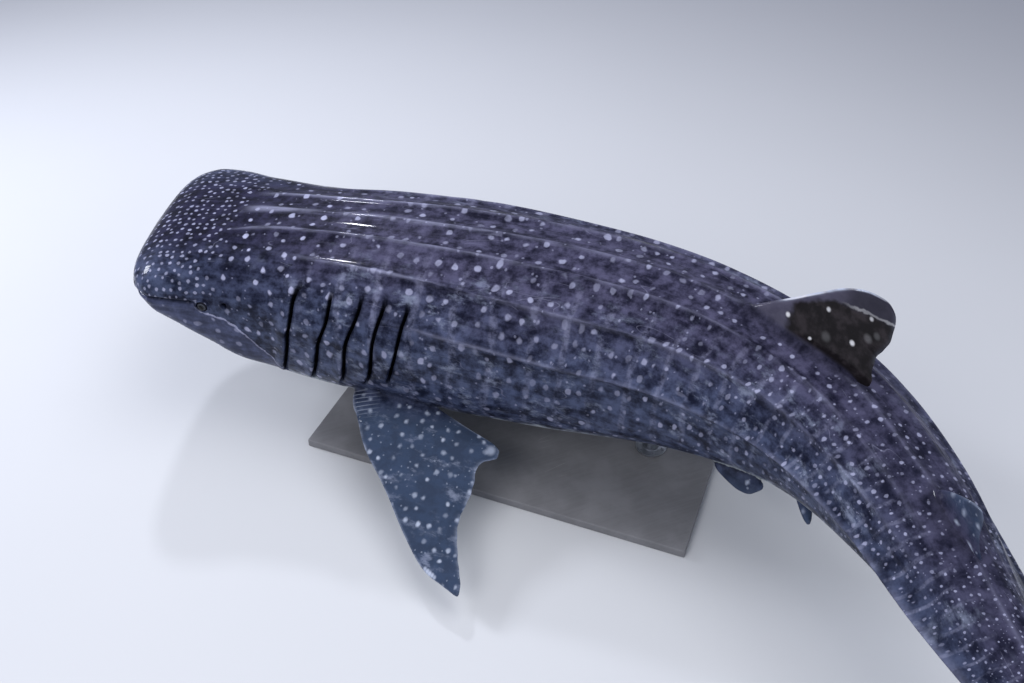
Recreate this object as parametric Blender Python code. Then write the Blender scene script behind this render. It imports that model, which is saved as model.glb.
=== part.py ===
"""A life-size whale shark, 7 m long, as a still display model on a low stand.

The shark is laid out along a bent spine. A point of the body is given by its station (metres behind the
snout, along the spine), its offset to the animal's left and its height above the floor. Heights in the
tables are measured from the level of the back, BACK_HEIGHT. Every solid is placed from these tables.
Run with: blender --background --python part.py
"""

import math

import bmesh
import bpy
import numpy as np
from mathutils import Matrix, Vector

# Where the shark stands in its frame: the snout's middle, and the height of its back above the floor.
SNOUT_X = -2.2120
SNOUT_Y = 1.8084
BACK_HEIGHT = 1.25

# Clearances: between touching solids, and between a fin's root and the skin under it.
GAP = 0.0003
ROOT_GAP = 0.0004

# The spine's heading, degrees from +X, at stations along it: straight to the gills, then bent to the left.
HEADING = [
    (0.00, -5.5),
    (0.80, -14.5),
    (1.40, -15.5),
    (2.14, -19.0),
    (2.74, -27.0),
    (3.34, -40.0),
    (3.84, -57.0),
    (4.34, -73.0),
    (4.84, -80.0),
    (5.44, -79.0),
    (6.24, -67.0),
    (7.10, -60.0),
]
SPINE_STEP = 0.01
SPINE_END = 7.4

# Outline of the body: half width, and the heights of the back, the belly and the widest level.
HALF_WIDTH = [
    (0.000, 0.160),
    (0.012, 0.330),
    (0.030, 0.430),
    (0.060, 0.505),
    (0.110, 0.562),
    (0.200, 0.602),
    (0.340, 0.594),
    (0.520, 0.558),
    (0.750, 0.552),
    (1.050, 0.585),
    (1.400, 0.610),
    (1.900, 0.622),
    (2.400, 0.595),
    (3.000, 0.520),
    (3.600, 0.430),
    (4.150, 0.345),
    (4.650, 0.265),
    (5.050, 0.190),
    (5.300, 0.142),
    (5.450, 0.104),
    (5.600, 0.060),
    (5.720, 0.024),
]
BACK = [
    (0.000, -0.245),
    (0.030, -0.215),
    (0.080, -0.185),
    (0.200, -0.150),
    (0.500, -0.110),
    (1.000, -0.065),
    (1.500, -0.032),
    (2.200, -0.015),
    (3.000, -0.004),
    (3.700, -0.050),
    (4.400, -0.135),
    (5.000, -0.205),
    (5.300, -0.240),
    (5.500, -0.270),
    (5.720, -0.320),
]
BELLY = [
    (0.000, -0.380),
    (0.030, -0.430),
    (0.080, -0.480),
    (0.200, -0.575),
    (0.500, -0.770),
    (1.000, -0.950),
    (1.500, -0.980),
    (2.100, -0.975),
    (2.700, -0.930),
    (3.300, -0.835),
    (3.900, -0.715),
    (4.400, -0.625),
    (5.000, -0.525),
    (5.300, -0.480),
    (5.500, -0.445),
    (5.720, -0.390),
]
WIDEST = [
    (0.000, -0.285),
    (0.200, -0.295),
    (0.500, -0.360),
    (1.000, -0.470),
    (1.600, -0.540),
    (2.300, -0.560),
    (3.200, -0.500),
    (4.200, -0.420),
    (5.000, -0.370),
    (5.720, -0.356),
]
# Squareness of a cross-section, as a superellipse's power: 2 is an ellipse, more is boxier.
SQUARE_BACK = [(0.0, 3.0), (0.4, 2.9), (1.0, 2.45), (1.8, 2.25), (3.0, 2.1), (5.7, 2.0)]
SQUARE_BELLY = [(0.0, 2.6), (0.3, 2.9), (0.9, 2.9), (1.5, 2.5), (2.4, 2.4), (3.6, 2.2), (5.7, 2.0)]

# Ridges: angle round the section from the middle of the back, in degrees, and height, along the body.
CREST_HEIGHT = [(0.0, 0.0), (0.48, 0.0), (0.66, 0.012), (1.00, 0.017), (2.6, 0.020), (3.1, 0.012), (5.3, 0.008), (5.7, 0.0)]
RIDGE_ANGLES = (
    [(0.0, 12.0), (1.0, 12.5), (2.5, 18.0), (4.0, 24.0), (5.7, 30.0)],
    [(0.0, 31.0), (1.0, 32.0), (2.5, 41.0), (4.0, 48.0), (5.7, 56.0)],
    [(0.0, 60.0), (1.0, 60.0), (2.5, 67.0), (4.0, 78.0), (4.8, 87.0), (5.7, 90.0)],
)
RIDGE_HEIGHTS = (
    [(0.0, 0.0), (0.50, 0.0), (0.68, 0.013), (1.00, 0.018), (3.0, 0.024), (4.3, 0.014), (4.9, 0.0), (5.7, 0.0)],
    [(0.0, 0.0), (0.80, 0.0), (1.40, 0.020), (3.0, 0.028), (4.4, 0.016), (5.0, 0.0), (5.7, 0.0)],
    [(0.0, 0.0), (1.50, 0.0), (2.10, 0.020), (3.5, 0.028), (4.5, 0.034), (5.1, 0.060), (5.4, 0.056), (5.7, 0.010)],
)
RIDGE_SPREAD = 0.030
RIDGE_FOOT = 0.052

# Gills: stations of the five slits, their ends round the section, and the relief of each flap.
GILL_STATIONS = (1.075, 1.260, 1.420, 1.555, 1.680)
GILL_TOP_ANGLE = 47.0
GILL_BOTTOM_ANGLES = (126.0, 122.0, 114.0, 108.0, 103.0)
GILL_FADE = 9.0
GILL_LEAN = 0.115
GILL_LEAN_FROM = (0.800, 1.010)
GILL_LEAN_TO = (1.730, 1.950)
FLAP_RISE = 0.016
SLIT_DEPTH = 0.034
SLIT_EDGE = 0.007
SLIT_BACK = 0.026

# Mouth: height of the lip line, its corner and how far the lips turn in along it.
MOUTH_HEIGHT = [(0.0, -0.318), (0.15, -0.322), (0.30, -0.332), (0.46, -0.352)]
MOUTH_CORNER = 0.44
LIP_TURN = 0.016
LIP_SPREAD = 0.022
MOUTH_GAP = 0.007
JAW_CUT_DEPTH = 0.40
BLADE_REACH = 0.75

# Eye, spiracle and nostril, by station and height.
EYE_STATION = 0.500
EYE_HEIGHT = -0.365
EYE_RADIUS = 0.032
EYE_SUNK = 0.016
EYE_RIM = 0.010
SPIRACLE_STATION = 0.640
SPIRACLE_HEIGHT = -0.350
SPIRACLE_RADIUS = 0.020
SPIRACLE_TAPER = (0.008, 0.026)
NOSTRIL_STATION = 0.075
NOSTRIL_HEIGHT = -0.290
NOSTRIL_LENGTH = 0.055
NOSTRIL_RADIUS = 0.012
BARBEL_LENGTH = 0.050

# Nodes of the body: where each length starts and ends.
LENGTHS = (
    ("head", 0.0, 0.780),
    ("gill_region", 0.780, 1.960),
    ("trunk_front", 1.960, 3.000),
    ("trunk_rear", 3.000, 4.200),
    ("tail_stalk", 4.200, 5.700),
)

# Stand: a flat base, shifted along and across from the middle of the two rods up to the belly.
BASE_LENGTH = 2.20
BASE_WIDTH = 1.10
BASE_THICKNESS = 0.050
BASE_BEVEL = 0.006
BASE_SHIFT = (-0.043, -0.112)
ROD_RADIUS = 0.045
ROD_STATIONS = (("stand_rod_front", 1.55), ("stand_rod_rear", 2.95))
ROD_RISE = 0.12

# Colour and roughness of each kind of node, by the start of its name.
COLOURS = {
    "eye": ((0.012, 0.012, 0.014), 0.10),
    "stand_base": ((0.16, 0.16, 0.17), 0.55),
    "stand_rod": ((0.45, 0.46, 0.48), 0.30),
    "lower_jaw": ((0.11, 0.12, 0.14), 0.35),
    "pectoral": ((0.040, 0.055, 0.080), 0.35),
    "skin": ((0.035, 0.036, 0.048), 0.35),
}

# Median fins: height above the back or below the belly line, leading and trailing edge stations.
DORSAL_ORIGIN = 3.31
DORSAL_LEAN = -5.0
DORSAL_FIRST = [
    (-0.16, 0.00, 0.600),
    (-0.05, 0.00, 0.610),
    (0.010, 0.030, 0.630),
    (0.035, 0.070, 0.700),
    (0.060, 0.103, 0.738),
    (0.090, 0.141, 0.740),
    (0.130, 0.190, 0.722),
    (0.190, 0.260, 0.718),
    (0.250, 0.326, 0.735),
    (0.310, 0.394, 0.752),
    (0.360, 0.450, 0.754),
    (0.400, 0.507, 0.748),
    (0.435, 0.572, 0.737),
    (0.460, 0.640, 0.716),
]
DORSAL_FIRST_THICKNESS = [(-0.16, 0.085), (0.0, 0.070), (0.2, 0.045), (0.36, 0.024), (0.46, 0.014)]
DORSAL_SECOND_ORIGIN = 4.54
DORSAL_SECOND = [
    (-0.10, 0.00, 0.250),
    (-0.03, 0.00, 0.255),
    (0.010, 0.010, 0.262),
    (0.025, 0.025, 0.350),
    (0.045, 0.045, 0.375),
    (0.070, 0.072, 0.345),
    (0.110, 0.118, 0.318),
    (0.150, 0.170, 0.310),
    (0.185, 0.222, 0.305),
    (0.205, 0.262, 0.295),
]
DORSAL_SECOND_THICKNESS = [(-0.10, 0.045), (0.0, 0.036), (0.12, 0.020), (0.205, 0.010)]
ANAL_ORIGIN = 4.64
ANAL = [
    (-0.10, 0.00, 0.230),
    (-0.03, 0.00, 0.235),
    (0.010, 0.010, 0.240),
    (0.025, 0.026, 0.320),
    (0.045, 0.048, 0.342),
    (0.075, 0.085, 0.318),
    (0.120, 0.142, 0.300),
    (0.165, 0.200, 0.292),
    (0.200, 0.250, 0.286),
]

# Tail fin: height above the stalk's middle, leading and trailing edge stations.
CAUDAL_MIDDLE = -0.345
CAUDAL_UPPER = [
    (0.002, 5.300, 5.930),
    (0.060, 5.330, 5.935),
    (0.120, 5.400, 5.965),
    (0.200, 5.500, 6.030),
    (0.300, 5.620, 6.120),
    (0.420, 5.765, 6.235),
    (0.560, 5.930, 6.375),
    (0.700, 6.095, 6.520),
    (0.840, 6.265, 6.660),
    (0.960, 6.420, 6.775),
    (1.060, 6.560, 6.865),
    (1.135, 6.690, 6.930),
    (1.180, 6.795, 6.970),
    (1.200, 6.880, 6.985),
]
CAUDAL_LOWER = [
    (0.002, 5.300, 5.930),
    (0.060, 5.330, 5.925),
    (0.120, 5.385, 5.910),
    (0.200, 5.460, 5.905),
    (0.300, 5.545, 5.925),
    (0.410, 5.640, 5.965),
    (0.520, 5.735, 6.020),
    (0.620, 5.830, 6.075),
    (0.700, 5.915, 6.115),
    (0.750, 5.985, 6.130),
    (0.770, 6.040, 6.125),
]
CAUDAL_THICKNESS = [(0.0, 0.150), (0.15, 0.105), (0.35, 0.065), (0.7, 0.040), (1.2, 0.014)]

# Paired fins: distance out along the fin, leading and trailing edge stations behind its root's front.
PECTORAL_STATION = 1.320
PECTORAL_ROOT_LEFT = 0.42
PECTORAL_ROOT_HEIGHT = -0.760
PECTORAL_DROOP = 19.0
PECTORAL = [
    (-0.12, 0.000, 0.450),
    (0.02, 0.000, 0.460),
    (0.100, 0.008, 0.480),
    (0.150, 0.018, 0.560),
    (0.200, 0.036, 0.690),
    (0.240, 0.058, 0.825),
    (0.270, 0.082, 0.915),
    (0.300, 0.102, 0.955),
    (0.338, 0.124, 0.950),
    (0.375, 0.146, 0.885),
    (0.420, 0.175, 0.862),
    (0.500, 0.242, 0.874),
    (0.580, 0.325, 0.883),
    (0.680, 0.424, 0.868),
    (0.790, 0.525, 0.893),
    (0.900, 0.640, 0.952),
    (0.980, 0.740, 1.005),
    (1.020, 0.815, 1.030),
    (1.050, 0.925, 1.045),
    (1.075, 1.015, 1.052),
]
PECTORAL_THICKNESS = [(-0.12, 0.095), (0.1, 0.085), (0.3, 0.060), (0.7, 0.034), (1.075, 0.014)]
PELVIC_STATION = 3.460
PELVIC_ROOT_LEFT = 0.250
PELVIC_ROOT_HEIGHT = -0.630
PELVIC_DROOP = 62.0

# Claspers, as a root, a middle and a tip: station, offset from the middle, height and radius.
CLASPER = [
    (3.840, 0.105, -0.650, 0.032),
    (3.940, 0.140, -0.680, 0.037),
    (4.040, 0.180, -0.700, 0.033),
    (4.120, 0.215, -0.713, 0.021),
    (4.160, 0.232, -0.718, 0.007),
]
CLASPER_SIDES = 10
PELVIC = [
    (-0.08, -0.030, 0.280),
    (0.02, -0.030, 0.290),
    (0.045, -0.025, 0.318),
    (0.065, -0.018, 0.372),
    (0.085, -0.008, 0.385),
    (0.110, 0.008, 0.372),
    (0.135, 0.030, 0.352),
    (0.155, 0.070, 0.332),
    (0.170, 0.130, 0.305),
    (0.178, 0.195, 0.275),
]
PELVIC_THICKNESS = [(-0.08, 0.052), (0.08, 0.042), (0.14, 0.024), (0.178, 0.012)]

# Points along each face of a fin, from its leading edge to its trailing edge.
FIN_SIDE_POINTS = 9


def smooth(table, at):
    """Values at the given stations of a smooth curve through the table's points, with no overshoot."""
    xs, ys = np.array(table, float).T
    at = np.clip(np.asarray(at, float), xs[0], xs[-1])
    rise = np.diff(ys) / np.diff(xs)
    before, after = rise[:-1], rise[1:]
    slope = np.zeros(len(xs))
    turning = before * after <= 0
    total = np.where(turning, 1.0, before + after)
    slope[1:-1] = np.where(turning, 0.0, 2.0 * before * after / total)
    slope[0], slope[-1] = rise[0], rise[-1]
    k = np.clip(np.searchsorted(xs, at, side="right") - 1, 0, len(xs) - 2)
    width = xs[k + 1] - xs[k]
    u = (at - xs[k]) / width
    return (
        ys[k] * (1 + 2 * u) * (1 - u) ** 2
        + slope[k] * width * u * (1 - u) ** 2
        + ys[k + 1] * u * u * (3 - 2 * u)
        + slope[k + 1] * width * u * u * (u - 1)
    )


def lay_spine():
    """Stations, plan positions and headings along the spine, by adding up short steps."""
    stations = np.arange(0.0, SPINE_END + SPINE_STEP, SPINE_STEP)
    heading = np.radians(smooth(HEADING, stations))
    middle = (heading[1:] + heading[:-1]) / 2
    x = SNOUT_X + np.concatenate([[0.0], np.cumsum(np.cos(middle) * SPINE_STEP)])
    y = SNOUT_Y + np.concatenate([[0.0], np.cumsum(np.sin(middle) * SPINE_STEP)])
    return stations, x, y, heading


SPINE = lay_spine()


def place(station, left, height):
    """World points of body coordinates: station, offset to the animal's left, height above the floor."""
    station, left, height = np.broadcast_arrays(station, left, height)
    stations, xs, ys, headings = SPINE
    heading = np.interp(station, stations, headings)
    ahead = np.minimum(station, 0.0)
    x = np.interp(station, stations, xs) + ahead * np.cos(heading) + left * np.sin(heading)
    y = np.interp(station, stations, ys) + ahead * np.sin(heading) - left * np.cos(heading)
    return np.stack([x, y, height], axis=-1)


def bump(distance, spread):
    return np.exp(-((distance / spread) ** 2))


def section(station, angle):
    """Offset and height of the plain body section, without ridges, slits or lips."""
    side, up = np.sin(np.radians(angle)), np.cos(np.radians(angle))
    power = np.where(up > 0, smooth(SQUARE_BACK, station), smooth(SQUARE_BELLY, station))
    widest = smooth(WIDEST, station)
    reach = np.where(up > 0, smooth(BACK, station) - widest, widest - smooth(BELLY, station))
    left = smooth(HALF_WIDTH, station) * np.sign(side) * np.abs(side) ** (2 / power)
    height = widest + reach * np.sign(up) * np.abs(up) ** (2 / power)
    return left, height


def girth_radius(station):
    """Mean radius of a section, which turns a width along the skin into an angle."""
    return (smooth(HALF_WIDTH, station) * 2 + smooth(BACK, station) - smooth(BELLY, station)) / 4


def relief(station, angle):
    """How far the skin stands out from the plain section: the ridges and lips."""
    turn = np.radians(np.abs(angle))
    radius = girth_radius(station)
    out = smooth(CREST_HEIGHT, station) * bump(radius * turn, RIDGE_SPREAD)
    for angles, heights in zip(RIDGE_ANGLES, RIDGE_HEIGHTS):
        away = radius * (turn - np.radians(smooth(angles, station)))
        out = out + smooth(heights, station) * bump(away, RIDGE_SPREAD)
    return out + lip_relief(station, angle)


def gill_lean(station, angle):
    """How far forward the rings lean at an angle, so that the slits slant as they run down the flank."""
    down = np.clip((np.abs(angle) - GILL_TOP_ANGLE) / (GILL_BOTTOM_ANGLES[-1] - GILL_TOP_ANGLE), 0, 1.2)
    start = np.clip((station - GILL_LEAN_FROM[0]) / (GILL_LEAN_FROM[1] - GILL_LEAN_FROM[0]), 0, 1)
    end = np.clip((GILL_LEAN_TO[1] - station) / (GILL_LEAN_TO[1] - GILL_LEAN_TO[0]), 0, 1)
    return GILL_LEAN * down**1.5 * np.minimum(start, end)


def gill_relief(station, angle):
    """Each flap rises to its free edge and drops into the slit behind it."""
    top = np.clip((angle - GILL_TOP_ANGLE) / GILL_FADE, 0, 1)
    out = np.zeros(np.broadcast(station, angle).shape)
    previous = GILL_STATIONS[0] - 0.12
    for slit, bottom in zip(GILL_STATIONS, GILL_BOTTOM_ANGLES):
        inside = top * np.clip((bottom - angle) / GILL_FADE, 0, 1)
        edge = slit - SLIT_EDGE
        rising = np.clip((station - previous) / (edge - previous), 0, 1)
        out = np.where((station > previous) & (station <= edge), inside * FLAP_RISE * rising**2, out)
        falling = np.clip((station - edge) / (slit - edge), 0, 1)
        drop = FLAP_RISE * (1 - falling) - SLIT_DEPTH * falling
        out = np.where((station > edge) & (station <= slit), inside * drop, out)
        closing = np.clip((station - slit) / SLIT_BACK, 0, 1)
        climb = -SLIT_DEPTH * (1 - closing) ** 2
        out = np.where((station > slit) & (station <= slit + SLIT_BACK), inside * climb, out)
        previous = slit + SLIT_BACK
    return out


def lip_relief(station, angle):
    """The lips turn in along the mouth line, back to the mouth's corner."""
    height = section(station, angle)[1]
    open_part = np.clip((MOUTH_CORNER + 0.05 - station) / 0.08, 0, 1)
    return -LIP_TURN * open_part * bump(height - smooth(MOUTH_HEIGHT, station), LIP_SPREAD)


def skin_point(ring, angle, proud=0.0):
    """World points of the skin at a ring and an angle round it, standing `proud` of the skin."""
    ring, angle = np.broadcast_arrays(np.asarray(ring, float), np.asarray(angle, float))
    station = ring - gill_lean(ring, angle)
    left, height = section(station, angle)
    step = 0.5
    left_a, height_a = section(station, angle - step)
    left_b, height_b = section(station, angle + step)
    run, rise = left_b - left_a, height_b - height_a
    size = np.maximum(np.hypot(run, rise), 1e-9)
    out = relief(station, angle) + gill_relief(ring, np.abs(angle)) + proud
    return place(station, left - out * rise / size, BACK_HEIGHT + height + out * run / size)


def ring_angles(station):
    """Angles of a section's points, one side and then the other, with three on each ridge."""
    foot = math.degrees(RIDGE_FOOT / max(float(girth_radius(station)), 0.12))
    foot = min(foot, 9.0)
    first, second, third = (float(smooth(table, station)) for table in RIDGE_ANGLES)
    half = [min(foot, first / 3), (foot + first - foot) / 2]
    half += [first - foot, first, first + foot, (first + second) / 2]
    half += [second - foot, second, second + foot, (second + third) / 2]
    half += [third - foot, third, third + foot]
    lowest = 172.0
    start = third + foot
    rest = [start + (lowest - start) * k / 9 for k in range(1, 10)]
    half = sorted(half + rest)
    return np.array([0.0] + half + [180.0] + [360.0 - a for a in reversed(half)])


def signed(angles):
    return np.where(angles > 180, angles - 360, angles)


def station_list(start, end):
    """Stations of the rings between two cuts: close at the snout and the gills, wider on the trunk."""
    marks = [0.0, 0.004, 0.012, 0.025, 0.045, 0.075, 0.115, 0.165, 0.225, 0.290, 0.360, 0.430]
    marks += [0.500, 0.570, 0.640, 0.710, 0.840, 0.900, 0.955, 1.000]
    for slit in GILL_STATIONS:
        marks += [slit - 0.050, slit - SLIT_EDGE, slit, slit + SLIT_BACK * 0.45, slit + SLIT_BACK]
    marks += [1.770, 1.835, 1.900]
    marks += list(np.arange(2.05, 4.15, 0.095)) + list(np.arange(4.28, 5.70, 0.090))
    close = 0.012
    inner = [m for m in marks if start + close < m < end - close]
    return sorted([start, *inner, end])


def add_mesh(name, points, faces, collection):
    mesh = bpy.data.meshes.new(name)
    mesh.from_pydata([tuple(map(float, p)) for p in points], [], faces)
    mesh.validate()
    obj = bpy.data.objects.new(name, mesh)
    collection.objects.link(obj)
    work = bmesh.new()
    work.from_mesh(mesh)
    bmesh.ops.recalc_face_normals(work, faces=work.faces)
    work.to_mesh(mesh)
    work.free()
    return obj


def body_length(name, start, end, collection, proud=0.0):
    """A closed length of the body between two flat cuts across the spine."""
    stations = station_list(start, end)
    rings = []
    for s in stations:
        rings.append(skin_point(s, signed(ring_angles(s)), proud))
    points = np.concatenate(rings)
    count = len(rings[0])
    faces = []
    for row in range(len(rings) - 1):
        for col in range(count):
            a, b = row * count + col, row * count + (col + 1) % count
            c, d = b + count, a + count
            mirrored = col >= count // 2
            faces += [(a, b, d), (b, c, d)] if mirrored else [(a, b, c), (a, c, d)]
    faces.append(tuple(range(count)))
    last = (len(rings) - 1) * count
    faces.append(tuple(last + k for k in range(count)))
    return add_mesh(name, points, faces, collection)


def fin_solid(name, rows, to_world, collection):
    """A closed fin from rows of (leading edge, trailing edge, span, thickness), root row first.

    Both faces share one outline and are split into triangles alike, so they never cross.
    """
    shares = (1 - np.cos(np.linspace(0, math.pi, FIN_SIDE_POINTS))) / 2
    bulk = 2.6 * np.sqrt(shares) * (1 - shares) + 0.06
    bulk[0] = 0.0
    points = []
    for lead, trail, span, thickness in rows:
        along = lead + (trail - lead) * shares
        half = thickness / 2 * bulk
        for sign in (1, -1):
            points.append(to_world(along, span, sign * half))
    points = np.concatenate(points)
    n = FIN_SIDE_POINTS
    faces = []

    def at(row, side, k):
        return (2 * row + side) * n + k

    for row in range(len(rows) - 1):
        for k in range(n - 1):
            for side in (0, 1):
                a, b = at(row, side, k), at(row, side, k + 1)
                c, d = at(row + 1, side, k + 1), at(row + 1, side, k)
                pair = [(a, b, c), (a, c, d)]
                faces += pair if side == 0 else [f[::-1] for f in pair]
        edge = at(row, 0, n - 1), at(row + 1, 0, n - 1), at(row + 1, 1, n - 1), at(row, 1, n - 1)
        faces += [(edge[0], edge[1], edge[2]), (edge[0], edge[2], edge[3])]
    for row in (0, len(rows) - 1):
        for k in range(n - 1):
            a, b = at(row, 0, k), at(row, 0, k + 1)
            c, d = at(row, 1, k + 1), at(row, 1, k)
            faces += [(a, b, c), (a, c, d)]
    obj = add_mesh(name, points, faces, collection)
    work = bmesh.new()
    work.from_mesh(obj.data)
    bmesh.ops.remove_doubles(work, verts=work.verts, dist=1e-5)
    bmesh.ops.recalc_face_normals(work, faces=work.faces)
    work.to_mesh(obj.data)
    work.free()
    return obj


def rows_from(outline, thickness):
    """Rows of a fin from a table of (span, leading edge, trailing edge) and one of thickness by span."""
    return [(lead, trail, span, float(smooth(thickness, span))) for span, lead, trail in outline]


def median_fin(name, outline, thickness, origin, edge, up, collection, lean=0.0):
    """A fin in the body's middle plane that stands on the back (up 1) or hangs from the belly (up -1)."""
    side, rise = math.sin(math.radians(lean)), math.cos(math.radians(lean))

    def to_world(along, span, half):
        station = origin + along
        height = BACK_HEIGHT + smooth(edge, station) + up * (span * rise - half * side)
        return place(station, half * rise + span * side, height)

    return fin_solid(name, rows_from(outline, thickness), to_world, collection)


def caudal_lobe(name, outline, up, collection):
    """One lobe of the tail fin, from the level of the stalk's middle up or down to its tip."""

    def to_world(along, span, half):
        return place(along, half, BACK_HEIGHT + CAUDAL_MIDDLE + up * (span + GAP / 2))

    return fin_solid(name, rows_from(outline, CAUDAL_THICKNESS), to_world, collection)


def paired_fin(name, outline, thickness, root, droop, side, collection):
    """A fin that leaves the flank sideways (side 1 is left) and droops by an angle."""
    station, left, height = root
    out, down = math.cos(math.radians(droop)), math.sin(math.radians(droop))

    def to_world(along, span, half):
        lift = half * out
        return place(
            station + along,
            side * (left + span * out + half * down),
            BACK_HEIGHT + height - span * down + lift,
        )

    return fin_solid(name, rows_from(outline, thickness), to_world, collection)


def collection_named(name):
    made = bpy.data.collections.new(name)
    bpy.context.scene.collection.children.link(made)
    return made


def cut_with(obj, other, operation="DIFFERENCE", solver="MANIFOLD"):
    """Applies one Boolean to obj with another object, or with a collection of them."""
    modifier = obj.modifiers.new("cut", "BOOLEAN")
    modifier.operation = operation
    modifier.solver = solver
    if isinstance(other, bpy.types.Collection):
        modifier.operand_type = "COLLECTION"
        modifier.collection = other
    else:
        modifier.object = other
    evaluated = obj.evaluated_get(bpy.context.evaluated_depsgraph_get())
    made = bpy.data.meshes.new_from_object(evaluated)
    obj.modifiers.clear()
    old = obj.data
    obj.data = made
    bpy.data.meshes.remove(old)
    made.name = obj.name


def connected_groups(work):
    """Faces of a bmesh in connected groups, the largest area first."""
    left = set(work.faces)
    groups = []
    while left:
        first = left.pop()
        group, front = {first}, [first]
        while front:
            for side in front.pop().edges:
                for other in side.link_faces:
                    if other in left:
                        left.remove(other)
                        group.add(other)
                        front.append(other)
        groups.append(group)
    return sorted(groups, key=lambda g: -sum(f.calc_area() for f in g))


def keep_group(obj, rank):
    """Leaves only one connected surface of a mesh, by its rank in area."""
    work = bmesh.new()
    work.from_mesh(obj.data)
    for group in [g for k, g in enumerate(connected_groups(work)) if k != rank]:
        bmesh.ops.delete(work, geom=list(group), context="FACES")
    loose = [v for v in work.verts if not v.link_faces]
    bmesh.ops.delete(work, geom=loose, context="VERTS")
    work.to_mesh(obj.data)
    work.free()


def discard(obj):
    mesh = obj.data
    bpy.data.objects.remove(obj)
    bpy.data.meshes.remove(mesh)


def angle_at_height(station, height):
    """Angle round the left half of a section at which the skin has the given height."""
    angles = np.linspace(20, 160, 561)
    heights = section(np.full(angles.shape, station), angles)[1]
    return float(angles[np.argmin(np.abs(heights - height))])


def skin_site(station, height, side):
    """Point and outward direction on the flank, at a station and a height, on one side."""
    angle = side * angle_at_height(station, height)
    inner, outer = skin_point(station, angle), skin_point(station, angle, 0.01)
    return Vector(inner), Vector(outer - inner).normalized()


def facing(point, direction):
    """A matrix that carries +Z to a direction and the origin to a point."""
    return Matrix.Translation(point) @ direction.to_track_quat("Z", "Y").to_matrix().to_4x4()


def ball(name, centre, radius, collection):
    work = bmesh.new()
    bmesh.ops.create_uvsphere(work, u_segments=20, v_segments=12, radius=radius)
    return from_bmesh(name, work, Matrix.Translation(centre), collection)


def rod(name, start, end, radius, tip_radius, sides, collection):
    """A round rod from one point to another, as a cylinder or a taper."""
    direction = Vector(end) - Vector(start)
    work = bmesh.new()
    bmesh.ops.create_cone(
        work, cap_ends=True, segments=sides, radius1=radius, radius2=tip_radius, depth=direction.length
    )
    middle = (Vector(start) + Vector(end)) / 2
    return from_bmesh(name, work, facing(middle, direction.normalized()), collection)


def from_bmesh(name, work, matrix, collection):
    mesh = bpy.data.meshes.new(name)
    bmesh.ops.transform(work, matrix=matrix, verts=work.verts)
    work.to_mesh(mesh)
    work.free()
    obj = bpy.data.objects.new(name, mesh)
    collection.objects.link(obj)
    return obj


def mouth_blade(collection):
    """A sheet along the mouth line that turns down behind the jaw, as one cutter."""
    stations = np.linspace(-0.15, MOUTH_CORNER, 16)
    half = MOUTH_GAP / 2
    line = [(s, float(smooth(MOUTH_HEIGHT, s))) for s in stations]
    corner, level = line[-1]
    back = corner + half
    floor = level - JAW_CUT_DEPTH
    profile = [(s, h + half) for s, h in line] + [(back, level + half), (back, floor)]
    profile += [(back - GAP, floor), (back - GAP, level - half)] + [(s, h - half) for s, h in line[::-1]]
    points = []
    for side in (1, -1):
        for station, height in profile:
            points.append(place(station, side * BLADE_REACH, BACK_HEIGHT + height))
    count = len(profile)
    faces = [tuple(range(count)), tuple(range(2 * count - 1, count - 1, -1))]
    for k in range(count):
        j = (k + 1) % count
        faces.append((k, j, count + j, count + k))
    return add_mesh("mouth_blade", points, faces, collection)


def part_jaw(head, collection, cutters):
    """Parts the lower jaw from the head along the mouth line."""
    blade = mouth_blade(cutters)
    cut_with(head, blade)
    discard(blade)
    jaw = bpy.data.objects.new("lower_jaw", head.data.copy())
    collection.objects.link(jaw)
    keep_group(head, 0)
    keep_group(jaw, 1)
    return jaw


def add_eye(side, word, head, collection, cutters):
    """An eyeball in its socket, with a low rim of skin round it."""
    point, out = skin_site(EYE_STATION, EYE_HEIGHT, side)
    centre = point - out * EYE_SUNK
    bpy.ops.mesh.primitive_torus_add(
        major_radius=EYE_RADIUS + EYE_RIM / 3, minor_radius=EYE_RIM, major_segments=20, minor_segments=8
    )
    rim = bpy.context.object
    rim.data.transform(facing(point - out * EYE_RIM / 3, out))
    cut_with(head, rim, "UNION")
    discard(rim)
    socket = ball("socket", centre, EYE_RADIUS + GAP, cutters)
    cut_with(head, socket)
    discard(socket)
    return ball("eye_" + word, centre, EYE_RADIUS, collection)


def add_spiracle(side, head, cutters):
    """The small blind hole behind the eye."""
    point, out = skin_site(SPIRACLE_STATION, SPIRACLE_HEIGHT, side)
    hole = rod("hole", point - out * SPIRACLE_RADIUS * 1.5, point + out * 0.03, *SPIRACLE_TAPER, 12, cutters)
    cut_with(head, hole)
    discard(hole)


def add_nostril(side, head, cutters):
    """The nostril's groove at the corner of the upper lip, and the barbel that hangs at its inner end."""
    point, out = skin_site(NOSTRIL_STATION, NOSTRIL_HEIGHT, side)
    along = Vector(place(NOSTRIL_STATION + 0.1, 0, 0) - place(NOSTRIL_STATION, 0, 0)).normalized()
    start, end = point - along * NOSTRIL_LENGTH / 2, point + along * NOSTRIL_LENGTH / 2
    groove = rod("groove", start, end, NOSTRIL_RADIUS, NOSTRIL_RADIUS / 2, 10, cutters)
    cut_with(head, groove)
    discard(groove)
    root = start - out * NOSTRIL_RADIUS
    tip = start + out * BARBEL_LENGTH * 0.6 - Vector((0, 0, BARBEL_LENGTH * 0.5)) - along * 0.01
    barbel = rod("barbel", root, tip, NOSTRIL_RADIUS, NOSTRIL_RADIUS / 3, 10, cutters)
    cut_with(head, barbel, "UNION")
    discard(barbel)


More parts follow.
